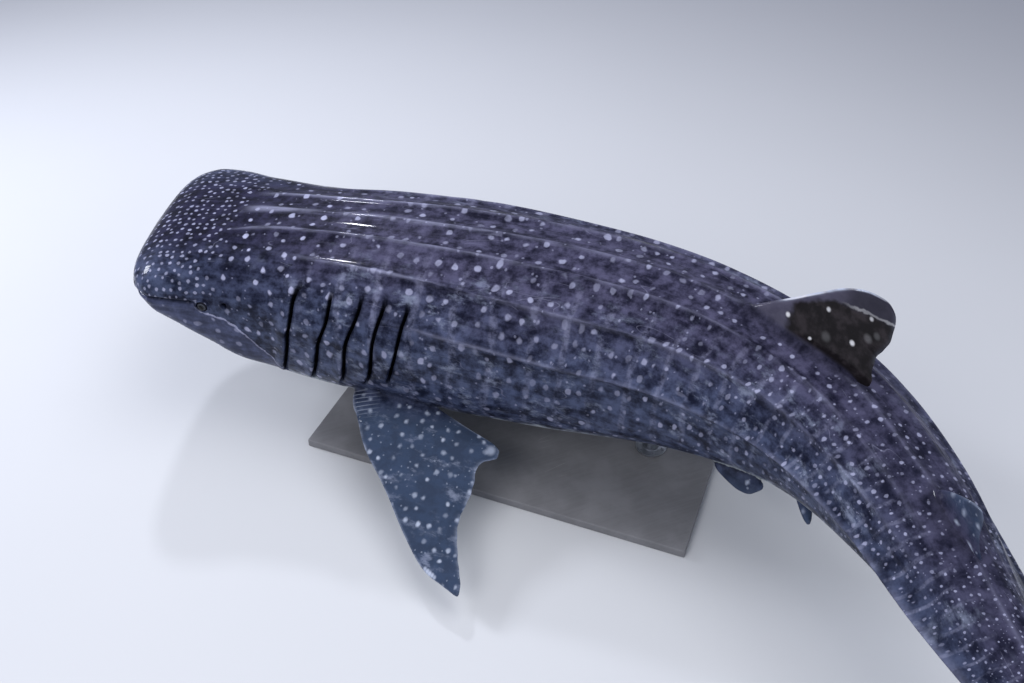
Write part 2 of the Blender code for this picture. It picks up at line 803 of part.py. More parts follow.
def add_claspers(collection):
    """The male's two claspers, which trail from the inner ends of the pelvic fins."""
    made = []
    for side, word in ((1, "left"), (-1, "right")):
        line = [Vector(place(s, side * left, BACK_HEIGHT + height)) for s, left, height, _ in CLASPER]
        rings = []
        for k, (point, row) in enumerate(zip(line, CLASPER)):
            ahead = line[min(k + 1, len(line) - 1)] - line[max(k - 1, 0)]
            turn = facing(point, ahead.normalized())
            for j in range(CLASPER_SIDES):
                a = 2 * math.pi * j / CLASPER_SIDES
                rings.append(turn @ Vector((row[3] * math.cos(a), row[3] * math.sin(a), 0)))
        n = CLASPER_SIDES
        faces = [tuple(range(n)), tuple(range(len(rings) - n, len(rings)))]
        for row in range(len(CLASPER) - 1):
            for j in range(n):
                a, b = row * n + j, row * n + (j + 1) % n
                faces.append((a, b, b + n, a + n))
        made.append(add_mesh("clasper_" + word, rings, faces, collection))
    return made


def add_fins(collection):
    thickness = DORSAL_FIRST_THICKNESS
    made = [
        median_fin("dorsal_fin_first", DORSAL_FIRST, thickness, DORSAL_ORIGIN, BACK, 1, collection, DORSAL_LEAN)
    ]
    thickness = DORSAL_SECOND_THICKNESS
    made += [
        median_fin("dorsal_fin_second", DORSAL_SECOND, thickness, DORSAL_SECOND_ORIGIN, BACK, 1, collection),
        median_fin("anal_fin", ANAL, thickness, ANAL_ORIGIN, BELLY, -1, collection),
        caudal_lobe("caudal_fin_upper", CAUDAL_UPPER, 1, collection),
        caudal_lobe("caudal_fin_lower", CAUDAL_LOWER, -1, collection),
    ]
    for side, word in ((1, "left"), (-1, "right")):
        name = "pectoral_fin_" + word
        root = PECTORAL_STATION, PECTORAL_ROOT_LEFT, PECTORAL_ROOT_HEIGHT
        made.append(paired_fin(name, PECTORAL, PECTORAL_THICKNESS, root, PECTORAL_DROOP, side, collection))
        name = "pelvic_fin_" + word
        root = PELVIC_STATION, PELVIC_ROOT_LEFT, PELVIC_ROOT_HEIGHT
        made.append(paired_fin(name, PELVIC, PELVIC_THICKNESS, root, PELVIC_DROOP, side, collection))
    return made


def add_stand(collection):
    """A flat base under the centre of weight, and two upright rods that run up into the belly."""
    work = bmesh.new()
    bmesh.ops.create_cube(work, size=1.0)
    bmesh.ops.scale(work, vec=(BASE_LENGTH, BASE_WIDTH, BASE_THICKNESS), verts=work.verts)
    bmesh.ops.bevel(
        work, geom=list(work.edges), offset=BASE_BEVEL, segments=2, affect="EDGES", profile=0.5
    )
    front, rear = (Vector(place(s, 0.0, 0.0)) for _, s in ROD_STATIONS)
    turn = Matrix.Rotation(math.atan2(rear.y - front.y, rear.x - front.x), 4, "Z")
    centre = (front + rear) / 2 + turn @ Vector((*BASE_SHIFT, BASE_THICKNESS / 2))
    made = [from_bmesh("stand_base", work, Matrix.Translation(centre) @ turn, collection)]
    for name, station in ROD_STATIONS:
        foot = Vector(place(station, 0.0, BASE_THICKNESS + GAP))
        top = Vector(place(station, 0.0, BACK_HEIGHT + float(smooth(BELLY, station)) + ROD_RISE))
        made.append(rod(name, foot, top, ROD_RADIUS, ROD_RADIUS, 24, collection))
    return made


def trim_roots(pieces, cutters):
    """Cuts from each piece the slightly swollen body, so that it meets the skin face to face."""
    swollen = body_length("swollen_body", 0.0, LENGTHS[-1][2] + ROOT_GAP, cutters, ROOT_GAP)
    for piece in pieces:
        cut_with(piece, swollen)
        keep_group(piece, 0)
    discard(swollen)


def material(name, colour, roughness):
    made = bpy.data.materials.new(name)
    made.use_nodes = True
    shader = made.node_tree.nodes["Principled BSDF"]
    shader.inputs["Base Color"].default_value = (*colour, 1.0)
    shader.inputs["Roughness"].default_value = roughness
    made.diffuse_color = (*colour, 1.0)
    return made


def paint(collection):
    """Gives each node a material of its own, in the colour of its kind."""
    for obj in collection.objects:
        kind = next((k for k in COLOURS if obj.name.startswith(k)), "skin")
        obj.data.materials.clear()
        obj.data.materials.append(material(obj.name, *COLOURS[kind]))


def clear_scene():
    for obj in list(bpy.data.objects):
        bpy.data.objects.remove(obj)


def main():
    clear_scene()
    shark = collection_named("whale_shark")
    cutters = collection_named("cutters")
    cutters.hide_render = True
    body = {}
    for name, start, end in LENGTHS:
        front = start + (GAP / 2 if start > 0 else 0.0)
        body[name] = body_length(name, front, end - GAP / 2, shark)
    head = body["head"]
    part_jaw(head, shark, cutters)
    for side, word in ((1, "left"), (-1, "right")):
        add_eye(side, word, head, shark, cutters)
        add_spiracle(side, head, cutters)
        add_nostril(side, head, cutters)
    keep_group(head, 0)
    fins = add_fins(shark)
    claspers = add_claspers(shark)
    stand = add_stand(shark)
    trim_roots(fins + claspers + stand[1:], cutters)
    paint(shark)


if __name__ == "__main__":
    main()
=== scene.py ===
"""The looks of a life-size whale shark on its display stand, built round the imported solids.

Run it as a script in Blender 4.5. It is laid out as an add-on: a property group for what a user would change,
one operator for each group of pieces, and a panel that lists them. The body is described as the solids are:
a point has a station (metres behind the snout along a bent spine), an angle round the section from the middle
of the back (left is positive) and a height measured from the level of the back.
"""

import math
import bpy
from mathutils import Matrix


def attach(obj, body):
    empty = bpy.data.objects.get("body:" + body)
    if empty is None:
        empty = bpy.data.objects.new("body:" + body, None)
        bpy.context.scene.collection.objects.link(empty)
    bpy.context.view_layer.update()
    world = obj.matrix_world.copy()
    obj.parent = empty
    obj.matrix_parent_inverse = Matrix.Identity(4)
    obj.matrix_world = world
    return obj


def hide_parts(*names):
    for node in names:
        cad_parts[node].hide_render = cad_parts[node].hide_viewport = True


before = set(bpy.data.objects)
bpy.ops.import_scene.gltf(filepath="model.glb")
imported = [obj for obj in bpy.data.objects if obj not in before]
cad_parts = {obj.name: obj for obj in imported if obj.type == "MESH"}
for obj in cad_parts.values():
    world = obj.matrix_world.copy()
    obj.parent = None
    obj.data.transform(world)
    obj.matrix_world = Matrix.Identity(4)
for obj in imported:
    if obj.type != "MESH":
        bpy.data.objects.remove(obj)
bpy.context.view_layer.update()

from types import SimpleNamespace

import bpy
import numpy as np
from mathutils import Matrix, Vector

bl_info = {
    "name": "Whale shark on a stand",
    "version": (1, 0, 0),
    "blender": (4, 5, 0),
    "location": "3D View > Sidebar > Shark",
    "description": "Builds the skin, eyes, stand and studio of a life-size whale shark",
    "category": "Object",
}

IMAGE_WIDTH = 1024
FLESH = [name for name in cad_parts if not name.startswith(("stand_", "eye_"))]

# Where the shark stands: the snout's middle, and the height of its back above the floor.
SNOUT_X = -2.212
SNOUT_Y = 1.8084
BACK_HEIGHT = 1.25
BODY_END = 5.7

# The spine's heading in degrees, then half width and the heights of back, belly and widest level, by station.
HEADING = [
    (0.0, -5.5), (0.8, -14.5), (1.4, -15.5), (2.14, -19.0), (2.74, -27.0), (3.34, -40.0),
    (3.84, -57.0), (4.34, -73.0), (4.84, -80.0), (5.44, -79.0), (6.24, -67.0), (7.1, -60.0),
]
HALF_WIDTH = [
    (0.0, 0.16), (0.012, 0.33), (0.03, 0.43), (0.06, 0.505), (0.11, 0.562), (0.2, 0.602),
    (0.34, 0.594), (0.52, 0.558), (0.75, 0.552), (1.05, 0.585), (1.4, 0.61), (1.9, 0.622),
    (2.4, 0.595), (3.0, 0.52), (3.6, 0.43), (4.15, 0.345), (4.65, 0.265), (5.05, 0.19),
    (5.3, 0.142), (5.45, 0.104), (5.6, 0.06), (5.72, 0.024),
]
BACK = [
    (0.0, -0.245), (0.03, -0.215), (0.08, -0.185), (0.2, -0.15), (0.5, -0.11), (1.0, -0.065),
    (1.5, -0.032), (2.2, -0.015), (3.0, -0.004), (3.7, -0.05), (4.4, -0.135), (5.0, -0.205),
    (5.3, -0.24), (5.5, -0.27), (5.72, -0.32),
]
BELLY = [
    (0.0, -0.38), (0.03, -0.43), (0.08, -0.48), (0.2, -0.575), (0.5, -0.77), (1.0, -0.95),
    (1.5, -0.98), (2.1, -0.975), (2.7, -0.93), (3.3, -0.835), (3.9, -0.715), (4.4, -0.625),
    (5.0, -0.525), (5.3, -0.48), (5.5, -0.445), (5.72, -0.39),
]
WIDEST = [
    (0.0, -0.285), (0.2, -0.295), (0.5, -0.36), (1.0, -0.47), (1.6, -0.54), (2.3, -0.56),
    (3.2, -0.5), (4.2, -0.42), (5.0, -0.37), (5.72, -0.356),
]
SQUARE_BACK = [(0.0, 3.0), (0.4, 2.9), (1.0, 2.45), (1.8, 2.25), (3.0, 2.1), (5.7, 2.0)]
SQUARE_BELLY = [(0.0, 2.6), (0.3, 2.9), (0.9, 2.9), (1.5, 2.5), (2.4, 2.4), (3.6, 2.2), (5.7, 2.0)]

# Ridges along the back and flank: angle round the section and height.
CREST_HEIGHT = [
    (0.0, 0.0), (0.48, 0.0), (0.66, 0.012), (1.0, 0.017), (2.6, 0.02), (3.1, 0.012), (5.3, 0.008), (5.7, 0.0),
]
RIDGE_ANGLES = (
    [(0.0, 12.0), (1.0, 12.5), (2.5, 18.0), (4.0, 24.0), (5.7, 30.0)],
    [(0.0, 31.0), (1.0, 32.0), (2.5, 41.0), (4.0, 48.0), (5.7, 56.0)],
    [(0.0, 60.0), (1.0, 60.0), (2.5, 67.0), (4.0, 78.0), (4.8, 87.0), (5.7, 90.0)],
)
RIDGE_HEIGHTS = (
    [(0.0, 0.0), (0.5, 0.0), (0.68, 0.013), (1.0, 0.018), (3.0, 0.024), (4.3, 0.014), (4.9, 0.0), (5.7, 0.0)],
    [(0.0, 0.0), (0.8, 0.0), (1.4, 0.02), (3.0, 0.028), (4.4, 0.016), (5.0, 0.0), (5.7, 0.0)],
    [(0.0, 0.0), (1.5, 0.0), (2.1, 0.02), (3.5, 0.028), (4.5, 0.034), (5.1, 0.06), (5.4, 0.056), (5.7, 0.01)],
)
RIDGE_SPREAD = 0.03
RIDGE_EDGE = 0.009

# Gills: the slits' stations, their ends round the section, and how they lean forward low on the flank.
GILL_STATIONS = (1.075, 1.26, 1.42, 1.555, 1.68)
GILL_TOP_ANGLE = 47.0
GILL_BOTTOM_ANGLES = (126.0, 122.0, 114.0, 108.0, 103.0)
GILL_FADE = 9.0
GILL_LEAN = 0.115
GILL_LEAN_FROM = (0.8, 1.01)
GILL_LEAN_TO = (1.73, 1.95)
FLAP_SWELL = 0.0128
FLAP_START = 0.13
GILL_WAVE = 0.008
# One slit in section: place in the row of rings, true place behind the slit's station, rise, and the painted
# shade inside the slit.
SLIT_ROWS = [
    (-0.05, -0.05, 0.009, 0.0),
    (-0.032, -0.031, 0.013, 0.0),
    (-0.021, -0.018, 0.016, 0.0),
    (-0.014, -0.01, 0.0165, 0.0),
    (-0.008, -0.006, 0.012, 0.0),
    (-0.003, -0.005, -0.002, 0.9),
    (0.002, -0.008, -0.02, 1.0),
    (0.007, -0.003, -0.036, 1.0),
    (0.012, 0.004, -0.034, 1.0),
    (0.018, 0.008, -0.016, 1.0),
    (0.025, 0.014, -0.003, 0.3),
    (0.036, 0.032, 0.001, 0.0),
]
SLIT_ZONE = (-0.056, 0.044)

# Mouth, eye, spiracle and nostril.
MOUTH_HEIGHT = [(0.0, -0.318), (0.15, -0.322), (0.3, -0.332), (0.46, -0.352)]
MOUTH_CORNER = 0.44
THROAT_EDGE = [
    (0.0, -0.318), (0.15, -0.322), (0.3, -0.332), (0.44, -0.352), (0.5, -0.402), (0.6, -0.424),
    (0.7, -0.487), (0.8, -0.585), (0.875, -0.655), (0.955, -0.765), (1.05, -0.86),
]
THROAT_END = (1.0, 1.12)
# The throat's fullness on each side: height, station and its spread, angle round the section and its spread.
THROAT_SWELL = (0.048, 0.62, 0.22, 126.0, 22.0)
# Swellings and hollows on top of the head: height, station, its spread, distance from mid-back, its spread.
HEAD_SWELLS = [
    (0.006, 0.17, 0.12, 0.0, 0.38), (-0.012, 0.58, 0.13, 0.075, 0.045), (-0.009, 0.66, 0.16, 0.215, 0.06),
]
# Folds behind the snout: height, width, station, its spread, then the start, slope and curve of the line.
HEAD_FOLDS_FROM = 0.46
HEAD_FOLDS = [(0.007, 0.011, 0.5, 0.085, 0.085, -0.35, 0.9), (0.006, 0.012, 0.52, 0.1, 0.15, 0.25, 0.0)]
LIP_TURN = 0.016
LIP_SPREAD = 0.022
MOUTH_DEPTH = 0.024
MOUTH_WIDTH = 0.008
# Swellings beside the mouth line, and the fold under the lower lip: size, height above the line and spread.
LIPS = [(0.007, 0.026, 0.014), (0.004, -0.024, 0.012)]
LIP_FOLD = (0.004, -0.05, 0.01)
EYE_STATION = 0.5
EYE_HEIGHT = -0.365
EYE_RADIUS = 0.032
EYE_SUNK = 0.016
CORNEA_RISE = 0.045
NOSTRIL_STATION = 0.075
NOSTRIL_HEIGHT = -0.29
# Eye socket, spiracle and nostril: station, height, reach of the finer mesh, length, depth, radii of the
# hole's floor and edge, radii between which the painted shade in the hole fades from dark to none, and rims
# as rise, radius and width.
FACE_FORMS = [
    (EYE_STATION, EYE_HEIGHT, 0.062, 0.0, 0.03, 0.0245, 0.0315, 0.026, 0.034,
     [(0.0075, 0.036, 0.007), (0.0025, 0.058, 0.009), (-0.0025, 0.048, 0.005)]),
    (0.64, -0.35, 0.042, 0.0, 0.024, 0.006, 0.018, 0.006, 0.0162, [(0.0035, 0.022, 0.006)]),
    (NOSTRIL_STATION, NOSTRIL_HEIGHT, 0.042, 0.055, 0.016, 0.003, 0.01, 0.003, 0.008,
     [(0.003, 0.014, 0.005)]),
]
BARBEL = [(0.0, 0.006), (0.02, 0.0085), (0.045, 0.006), (0.062, 0.0015)]

# Fins: span, leading edge and trailing edge, as stations behind the fin's origin; thickness by span.
DORSAL_ORIGIN = 3.31
DORSAL_LEAN = -5.0
DORSAL_FIRST = [
    (-0.16, 0.0, 0.6), (-0.05, 0.0, 0.61), (0.01, 0.03, 0.63), (0.035, 0.07, 0.7),
    (0.06, 0.103, 0.738), (0.09, 0.141, 0.74), (0.13, 0.19, 0.722), (0.19, 0.26, 0.718),
    (0.25, 0.326, 0.735), (0.31, 0.394, 0.752), (0.36, 0.45, 0.754), (0.4, 0.507, 0.748),
    (0.435, 0.572, 0.737), (0.46, 0.64, 0.716),
]
DORSAL_FIRST_THICKNESS = [(-0.16, 0.085), (0.0, 0.07), (0.2, 0.045), (0.36, 0.024), (0.46, 0.014)]
# Pale spots on its faces: place along and up the fin, radius and strength.
DORSAL_SPOTS = [
    (0.257, 0.102, 0.013, 0.95), (0.437, 0.247, 0.012, 0.75), (0.4, 0.064, 0.01, 0.85),
    (0.594, 0.182, 0.014, 0.95), (0.64, 0.346, 0.011, 0.6), (0.655, 0.254, 0.022, 0.1),
    (0.468, 0.123, 0.026, 0.08), (0.69, 0.295, 0.018, 0.08),
]
DORSAL_SECOND_ORIGIN = 4.54
DORSAL_SECOND = [
    (-0.1, 0.0, 0.25), (-0.03, 0.0, 0.255), (0.01, 0.01, 0.262), (0.025, 0.025, 0.35),
    (0.045, 0.045, 0.375), (0.07, 0.072, 0.345), (0.11, 0.118, 0.318), (0.15, 0.17, 0.31),
    (0.185, 0.222, 0.305), (0.205, 0.262, 0.295),
]
SMALL_FIN_THICKNESS = [(-0.1, 0.045), (0.0, 0.036), (0.12, 0.02), (0.205, 0.01)]
ANAL_ORIGIN = 4.64
ANAL = [
    (-0.1, 0.0, 0.23), (-0.03, 0.0, 0.235), (0.01, 0.01, 0.24), (0.025, 0.026, 0.32),
    (0.045, 0.048, 0.342), (0.075, 0.085, 0.318), (0.12, 0.142, 0.3), (0.165, 0.2, 0.292),
    (0.2, 0.25, 0.286),
]
CAUDAL_MIDDLE = -0.345
CAUDAL_UPPER = [
    (-0.04, 5.31, 5.935), (0.002, 5.3, 5.93), (0.06, 5.33, 5.935), (0.12, 5.4, 5.965),
    (0.2, 5.5, 6.03), (0.3, 5.62, 6.12), (0.42, 5.765, 6.235), (0.56, 5.93, 6.375),
    (0.7, 6.095, 6.52), (0.84, 6.265, 6.66), (0.96, 6.42, 6.775), (1.06, 6.56, 6.865),
    (1.135, 6.69, 6.93), (1.18, 6.795, 6.97), (1.2, 6.88, 6.985),
]
CAUDAL_LOWER = [
    (-0.04, 5.31, 5.935), (0.002, 5.3, 5.93), (0.06, 5.33, 5.925), (0.12, 5.385, 5.91),
    (0.2, 5.46, 5.905), (0.3, 5.545, 5.925), (0.41, 5.64, 5.965), (0.52, 5.735, 6.02),
    (0.62, 5.83, 6.075), (0.7, 5.915, 6.115), (0.75, 5.985, 6.13), (0.77, 6.04, 6.125),
]
CAUDAL_THICKNESS = [(0.0, 0.15), (0.15, 0.105), (0.35, 0.065), (0.7, 0.04), (1.2, 0.014)]
PECTORAL_ROOT = (1.32, 0.42, -0.76)
PECTORAL_DROOP = 19.0
PECTORAL = [
    (-0.12, 0.0, 0.45), (0.02, 0.0, 0.46), (0.1, 0.008, 0.48), (0.15, 0.018, 0.56),
    (0.2, 0.036, 0.69), (0.24, 0.058, 0.825), (0.27, 0.082, 0.915), (0.3, 0.102, 0.955),
    (0.338, 0.124, 0.95), (0.375, 0.146, 0.885), (0.42, 0.175, 0.862), (0.5, 0.242, 0.874),
    (0.58, 0.325, 0.883), (0.68, 0.424, 0.868), (0.79, 0.525, 0.893), (0.9, 0.64, 0.952),
    (0.98, 0.74, 1.005), (1.02, 0.815, 1.03), (1.05, 0.925, 1.045), (1.075, 1.015, 1.052),
]
# Painted highlights on both faces of it, on the rear lobe and in the nick by the tip:
# place behind the fin's origin and out along the fin, radius and strength.
PECTORAL_HIGHLIGHTS = [(0.905, 0.305, 0.028, 0.6), (0.78, 0.994, 0.013, 0.8), (0.798, 1.003, 0.015, 0.95),
                  (0.816, 1.01, 0.015, 1.0), (0.834, 1.015, 0.014, 0.95), (0.852, 1.021, 0.012, 0.7)]
PECTORAL_THICKNESS = [(-0.12, 0.095), (0.1, 0.085), (0.3, 0.06), (0.7, 0.034), (1.075, 0.014)]
# Creases at its root: their distance, and how they bend back along the fin.
CREASE_GAP = 0.024
CREASE_BEND = 0.384
CREASE_POWER = 1.3
PELVIC_ROOT = (3.46, 0.25, -0.63)
PELVIC_DROOP = 62.0
PELVIC = [
    (-0.08, -0.03, 0.28), (0.02, -0.03, 0.29), (0.045, -0.025, 0.318), (0.065, -0.018, 0.372),
    (0.085, -0.008, 0.385), (0.11, 0.008, 0.372), (0.135, 0.03, 0.352), (0.155, 0.07, 0.332),
    (0.17, 0.13, 0.305), (0.178, 0.195, 0.275),
]
PELVIC_THICKNESS = [(-0.08, 0.052), (0.08, 0.042), (0.14, 0.024), (0.178, 0.012)]
CLASPER = [
    (3.84, 0.105, -0.65, 0.032), (3.94, 0.14, -0.68, 0.037), (4.04, 0.18, -0.7, 0.033),
    (4.12, 0.215, -0.713, 0.021), (4.16, 0.232, -0.718, 0.007),
]

# Stand: rods' stations and radius, and the flange that bolts each rod to the base.
ROD_STATIONS = (("front", 1.55), ("rear", 2.95))
ROD_RADIUS = 0.045
ROD_RISE = 0.12
BASE_THICKNESS = 0.05
WELD_RADIUS = 0.005
# A bolt from below: name, radius, height, bevel and sides.
BOLT_PARTS = (("washer", 0.0115, 0.002, 0.0005, 32), ("bolt", 0.0085, 0.0065, 0.0008, 6))

# Lights: name, place, target, size, whether it is a glint on the wet skin, share of the power, colour.
MIDDLE = (0.2, 0.4, 0.8)
COOL = (0.88, 0.91, 1.0)
LIGHTS = [
    ("key", (-4.5, -5.0, 6.5), MIDDLE, 4.5, False, 1.0, (1.0, 1.0, 1.0)),
    ("fill", (5.5, -4.0, 4.5), MIDDLE, 5.0, False, 0.55, (0.93, 0.96, 1.0)),
    ("back", (-3.0, 6.4, 6.2), (-1.0, 1.3, 1.2), 0.5, True, 1.0, COOL),
    ("rim", (-7.4, 4.0, 5.0), (-2.0, 1.5, 1.0), 1.7, True, 2.0, COOL),
    ("top", (1.0, 1.0, 7.5), MIDDLE, 5.0, False, 0.6, (1.0, 1.0, 1.0)),
]

# Mesh: points on each side of a body ring, and the gap between rings, by station.
SIDE_POINTS = 84
# Degrees to each side of a point over which the skin's outward direction is found.
NORMAL_STEP = 0.5
RING_GAPS = [
    (0.0, 0.0025), (0.02, 0.004), (0.06, 0.007), (0.2, 0.0095), (0.75, 0.011), (1.9, 0.013),
    (2.2, 0.028), (5.0, 0.028), (5.7, 0.022),
]
CAP_SIZES = (0.88, 0.68, 0.42, 0.18, 0.0)
CAP_ROWS = len(CAP_SIZES)
ROWS_OF_SPOTS = 32.0
# In the hide's maps each fin lies this far beyond the last, in metres, and its station is below minus this.
CHART_GAP = 10.0
SPOT_GAP = 0.098
# Fins' free corners: radius in the fin's own plane, and how far from the tip their thickness is rounded.
FIN_CORNER = 0.034
FIN_TIP = 0.014
# Fillets at the fins' roots: rounds of smoothing, strength, and the weight below which a point stays.
FILLET_ROUNDS = 26
FILLET_STRENGTH = 0.6
FILLET_LEAST = 0.003
SEAM_REACH = 0.3


def smooth(table, at):
    """Values at the given stations of a smooth curve through the table's points, with no overshoot."""
    xs, ys = np.array(table, float).T
    at = np.clip(np.asarray(at, float), xs[0], xs[-1])
    rise = np.diff(ys) / np.diff(xs)
    before, after = rise[:-1], rise[1:]
    slope = np.zeros(len(xs))
    turning = before * after <= 0
    total = np.where(turning, 1.0, before + after)
    slope[1:-1] = np.where(turning, 0.0, 2.0 * before * after / total)
    slope[0], slope[-1] = rise[0], rise[-1]
    k = np.clip(np.searchsorted(xs, at, side="right") - 1, 0, len(xs) - 2)
    width = xs[k + 1] - xs[k]
    u = (at - xs[k]) / width
    return (
        ys[k] * (1 + 2 * u) * (1 - u) ** 2
        + slope[k] * width * u * (1 - u) ** 2
        + ys[k + 1] * u * u * (3 - 2 * u)
        + slope[k + 1] * width * u * u * (u - 1)
    )


def lay_spine(step=0.01, end=7.4):
    """Stations, plan positions and headings along the spine, by adding up short steps."""
    stations = np.arange(0.0, end + step, step)
    heading = np.radians(smooth(HEADING, stations))
    middle = (heading[1:] + heading[:-1]) / 2
    x = SNOUT_X + np.concatenate([[0.0], np.cumsum(np.cos(middle) * step)])
    y = SNOUT_Y + np.concatenate([[0.0], np.cumsum(np.sin(middle) * step)])
    return stations, x, y, heading


SPINE = lay_spine()


def place(station, left, height):
    """World points of body coordinates: station, offset to the animal's left, height above the floor."""
    station, left, height = np.broadcast_arrays(station, left, height)
    stations, xs, ys, headings = SPINE
    heading = np.interp(station, stations, headings)
    ahead = np.minimum(station, 0.0)
    x = np.interp(station, stations, xs) + ahead * np.cos(heading) + left * np.sin(heading)
    y = np.interp(station, stations, ys) + ahead * np.sin(heading) - left * np.cos(heading)
    return np.stack([x, y, height], axis=-1)


def bump(distance, spread):
    return np.exp(-((distance / spread) ** 2))


def ramp(value, low, high):
    """0 below low, 1 above high, with a straight slope between."""
    return np.clip((value - low) / (high - low), 0, 1)


def ease(value, low, high):
    """0 below low, 1 above high, with a smooth step between."""
    t = ramp(value, low, high)
    return t * t * (3 - 2 * t)


def section(station, angle):
    """Offset and height of the plain body section."""
    side, up = np.sin(np.radians(angle)), np.cos(np.radians(angle))
    power = np.where(up > 0, smooth(SQUARE_BACK, station), smooth(SQUARE_BELLY, station))
    widest = smooth(WIDEST, station)
    reach = np.where(up > 0, smooth(BACK, station) - widest, widest - smooth(BELLY, station))
    left = smooth(HALF_WIDTH, station) * np.sign(side) * np.abs(side) ** (2 / power)
    height = widest + reach * np.sign(up) * np.abs(up) ** (2 / power)
    return left, height


def girth_radius(station):
    """Mean radius of a section, which turns a width along the skin into an angle."""
    return (smooth(HALF_WIDTH, station) * 2 + smooth(BACK, station) - smooth(BELLY, station)) / 4


def ridges(station):
    """Angle and height at a station of the crest along the back and of each ridge beside it."""
    yield 0.0, smooth(CREST_HEIGHT, station)
    for angles, heights in zip(RIDGE_ANGLES, RIDGE_HEIGHTS):
        yield smooth(angles, station), smooth(heights, station)


def ridge_highlight_lines(station, angle):
    """How near a point is to the narrow edge of a ridge, from 0 to 1, less where the ridge is low: where the
    painted highlight goes.
    """
    turn = np.radians(np.abs(angle))
    radius = girth_radius(station)
    line = 0.0
    for (middle, height), full in zip(ridges(station), (0.012, 0.016, 0.016, 0.016)):
        near = bump(radius * (turn - np.radians(middle)), RIDGE_EDGE)
        line = np.maximum(line, near * np.clip(height / full, 0, 1))
    return line


def relief(station, angle):
    """How far the skin stands out from the plain section: ridges, lips and the soft forms between them."""
    turn = np.radians(np.abs(angle))
    radius = girth_radius(station)
    out = 0.0
    for middle, height in ridges(station):
        away = radius * (turn - np.radians(middle))
        out = out + height * (0.62 * bump(away, RIDGE_SPREAD * 1.15) + 0.5 * bump(away, RIDGE_EDGE))
    return out + soft_forms(station, angle) + lip_relief(station, angle)


def soft_forms(station, angle):
    """The snout's flat swelling, the hollows behind it and faint lengthwise folds on the back and flank."""
    across = girth_radius(station) * np.radians(np.abs(angle))
    out = 0.0
    for height, middle, length, beside, width in HEAD_SWELLS:
        out = out + height * bump(station - middle, length) * bump(across - beside, width)
    behind = station - HEAD_FOLDS_FROM
    for height, width, middle, length, beside, slope, curve in HEAD_FOLDS:
        line = across - beside + slope * behind + curve * behind**2
        out = out + height * bump(line, width) * bump(station - middle, length)
    swell, middle, length, turned, width = THROAT_SWELL
    out = out + swell * bump(station - middle, length) * bump(np.abs(angle) - turned, width)
    body = ease(station, 0.7, 1.3) * (1 - ease(station, 4.6, 5.3))
    wander = 0.35 * np.sin(1.9 * station + 0.7) + 0.22 * np.sin(4.3 * station)
    folds = np.sin(np.abs(angle) * 0.42 + wander * 3) + 0.6 * np.sin(np.abs(angle) * 0.93 - 2 * wander)
    out = out + 0.0016 * body * folds
    turn = np.radians(angle)
    wide = np.sin(5.1 * station + 3 * turn) * np.sin(4 * turn + 2.3 * station)
    return out + 0.004 * ease(station, 0.9, 1.6) * wide * (1 - ease(station, 4.9, 5.5))


def lip_relief(station, angle):
    """The lips turn in along the mouth line, back to the mouth's corner."""
    height = section(station, angle)[1]
    open_part = 1 - ramp(station, MOUTH_CORNER - 0.03, MOUTH_CORNER + 0.05)
    return -LIP_TURN * open_part * bump(height - smooth(MOUTH_HEIGHT, station), LIP_SPREAD)


def gill_lean(station, angle):
    """How far forward the rings lean at an angle, so that the slits slant as they run down the flank."""
    down = np.clip((np.abs(angle) - GILL_TOP_ANGLE) / (GILL_BOTTOM_ANGLES[-1] - GILL_TOP_ANGLE), 0, 1.2)
    part = np.minimum(ramp(station, *GILL_LEAN_FROM), 1 - ramp(station, *GILL_LEAN_TO))
    return GILL_LEAN * down**1.5 * part


def skin_point(ring, angle, proud=0.0):
    """World points of the skin at a ring and an angle round it, standing `proud` of the skin."""
    ring, angle = np.broadcast_arrays(np.asarray(ring, float), np.asarray(angle, float))
    station = ring - gill_lean(ring, angle)
    left, height = section(station, angle)
    left_a, height_a = section(station, angle - NORMAL_STEP)
    left_b, height_b = section(station, angle + NORMAL_STEP)
    run, rise = left_b - left_a, height_b - height_a
    size = np.maximum(np.hypot(run, rise), 1e-9)
    out = relief(station, angle) + proud
    return place(station, left - out * rise / size, BACK_HEIGHT + height + out * run / size)


def slit_reach(slit, angle):
    """How much of a slit is there at an angle: 1 along its length, fading at both ends."""
    turn = np.abs(angle)
    top = ease(turn, GILL_TOP_ANGLE, GILL_TOP_ANGLE + GILL_FADE)
    return top * ease(-turn, -GILL_BOTTOM_ANGLES[slit], GILL_FADE - GILL_BOTTOM_ANGLES[slit])


def slit_wave(slit, angle):
    """The slits aren't straight: each wanders a little along the flank."""
    turn = np.radians(np.abs(angle))
    return GILL_WAVE * (np.sin(4.6 * turn + 2.1 * slit) + 0.6 * np.sin(9.5 * turn + 1.3 * slit + 1.0))


def ring_list():
    """The skin's rings as (ring station, slit number or -1, row of SLIT_ROWS or -1), snout first."""
    rows, station = [], 0.0
    while station < BODY_END:
        rows.append((station, -1, -1))
        station += float(np.interp(station, *np.array(RING_GAPS).T))
    zones = [(s + SLIT_ZONE[0], s + SLIT_ZONE[1]) for s in GILL_STATIONS]
    rows = [row for row in rows if not any(a < row[0] < b for a, b in zones)]
    for slit, station in enumerate(GILL_STATIONS):
        rows += [(station + row[0], slit, k) for k, row in enumerate(SLIT_ROWS)]
    return sorted(rows)


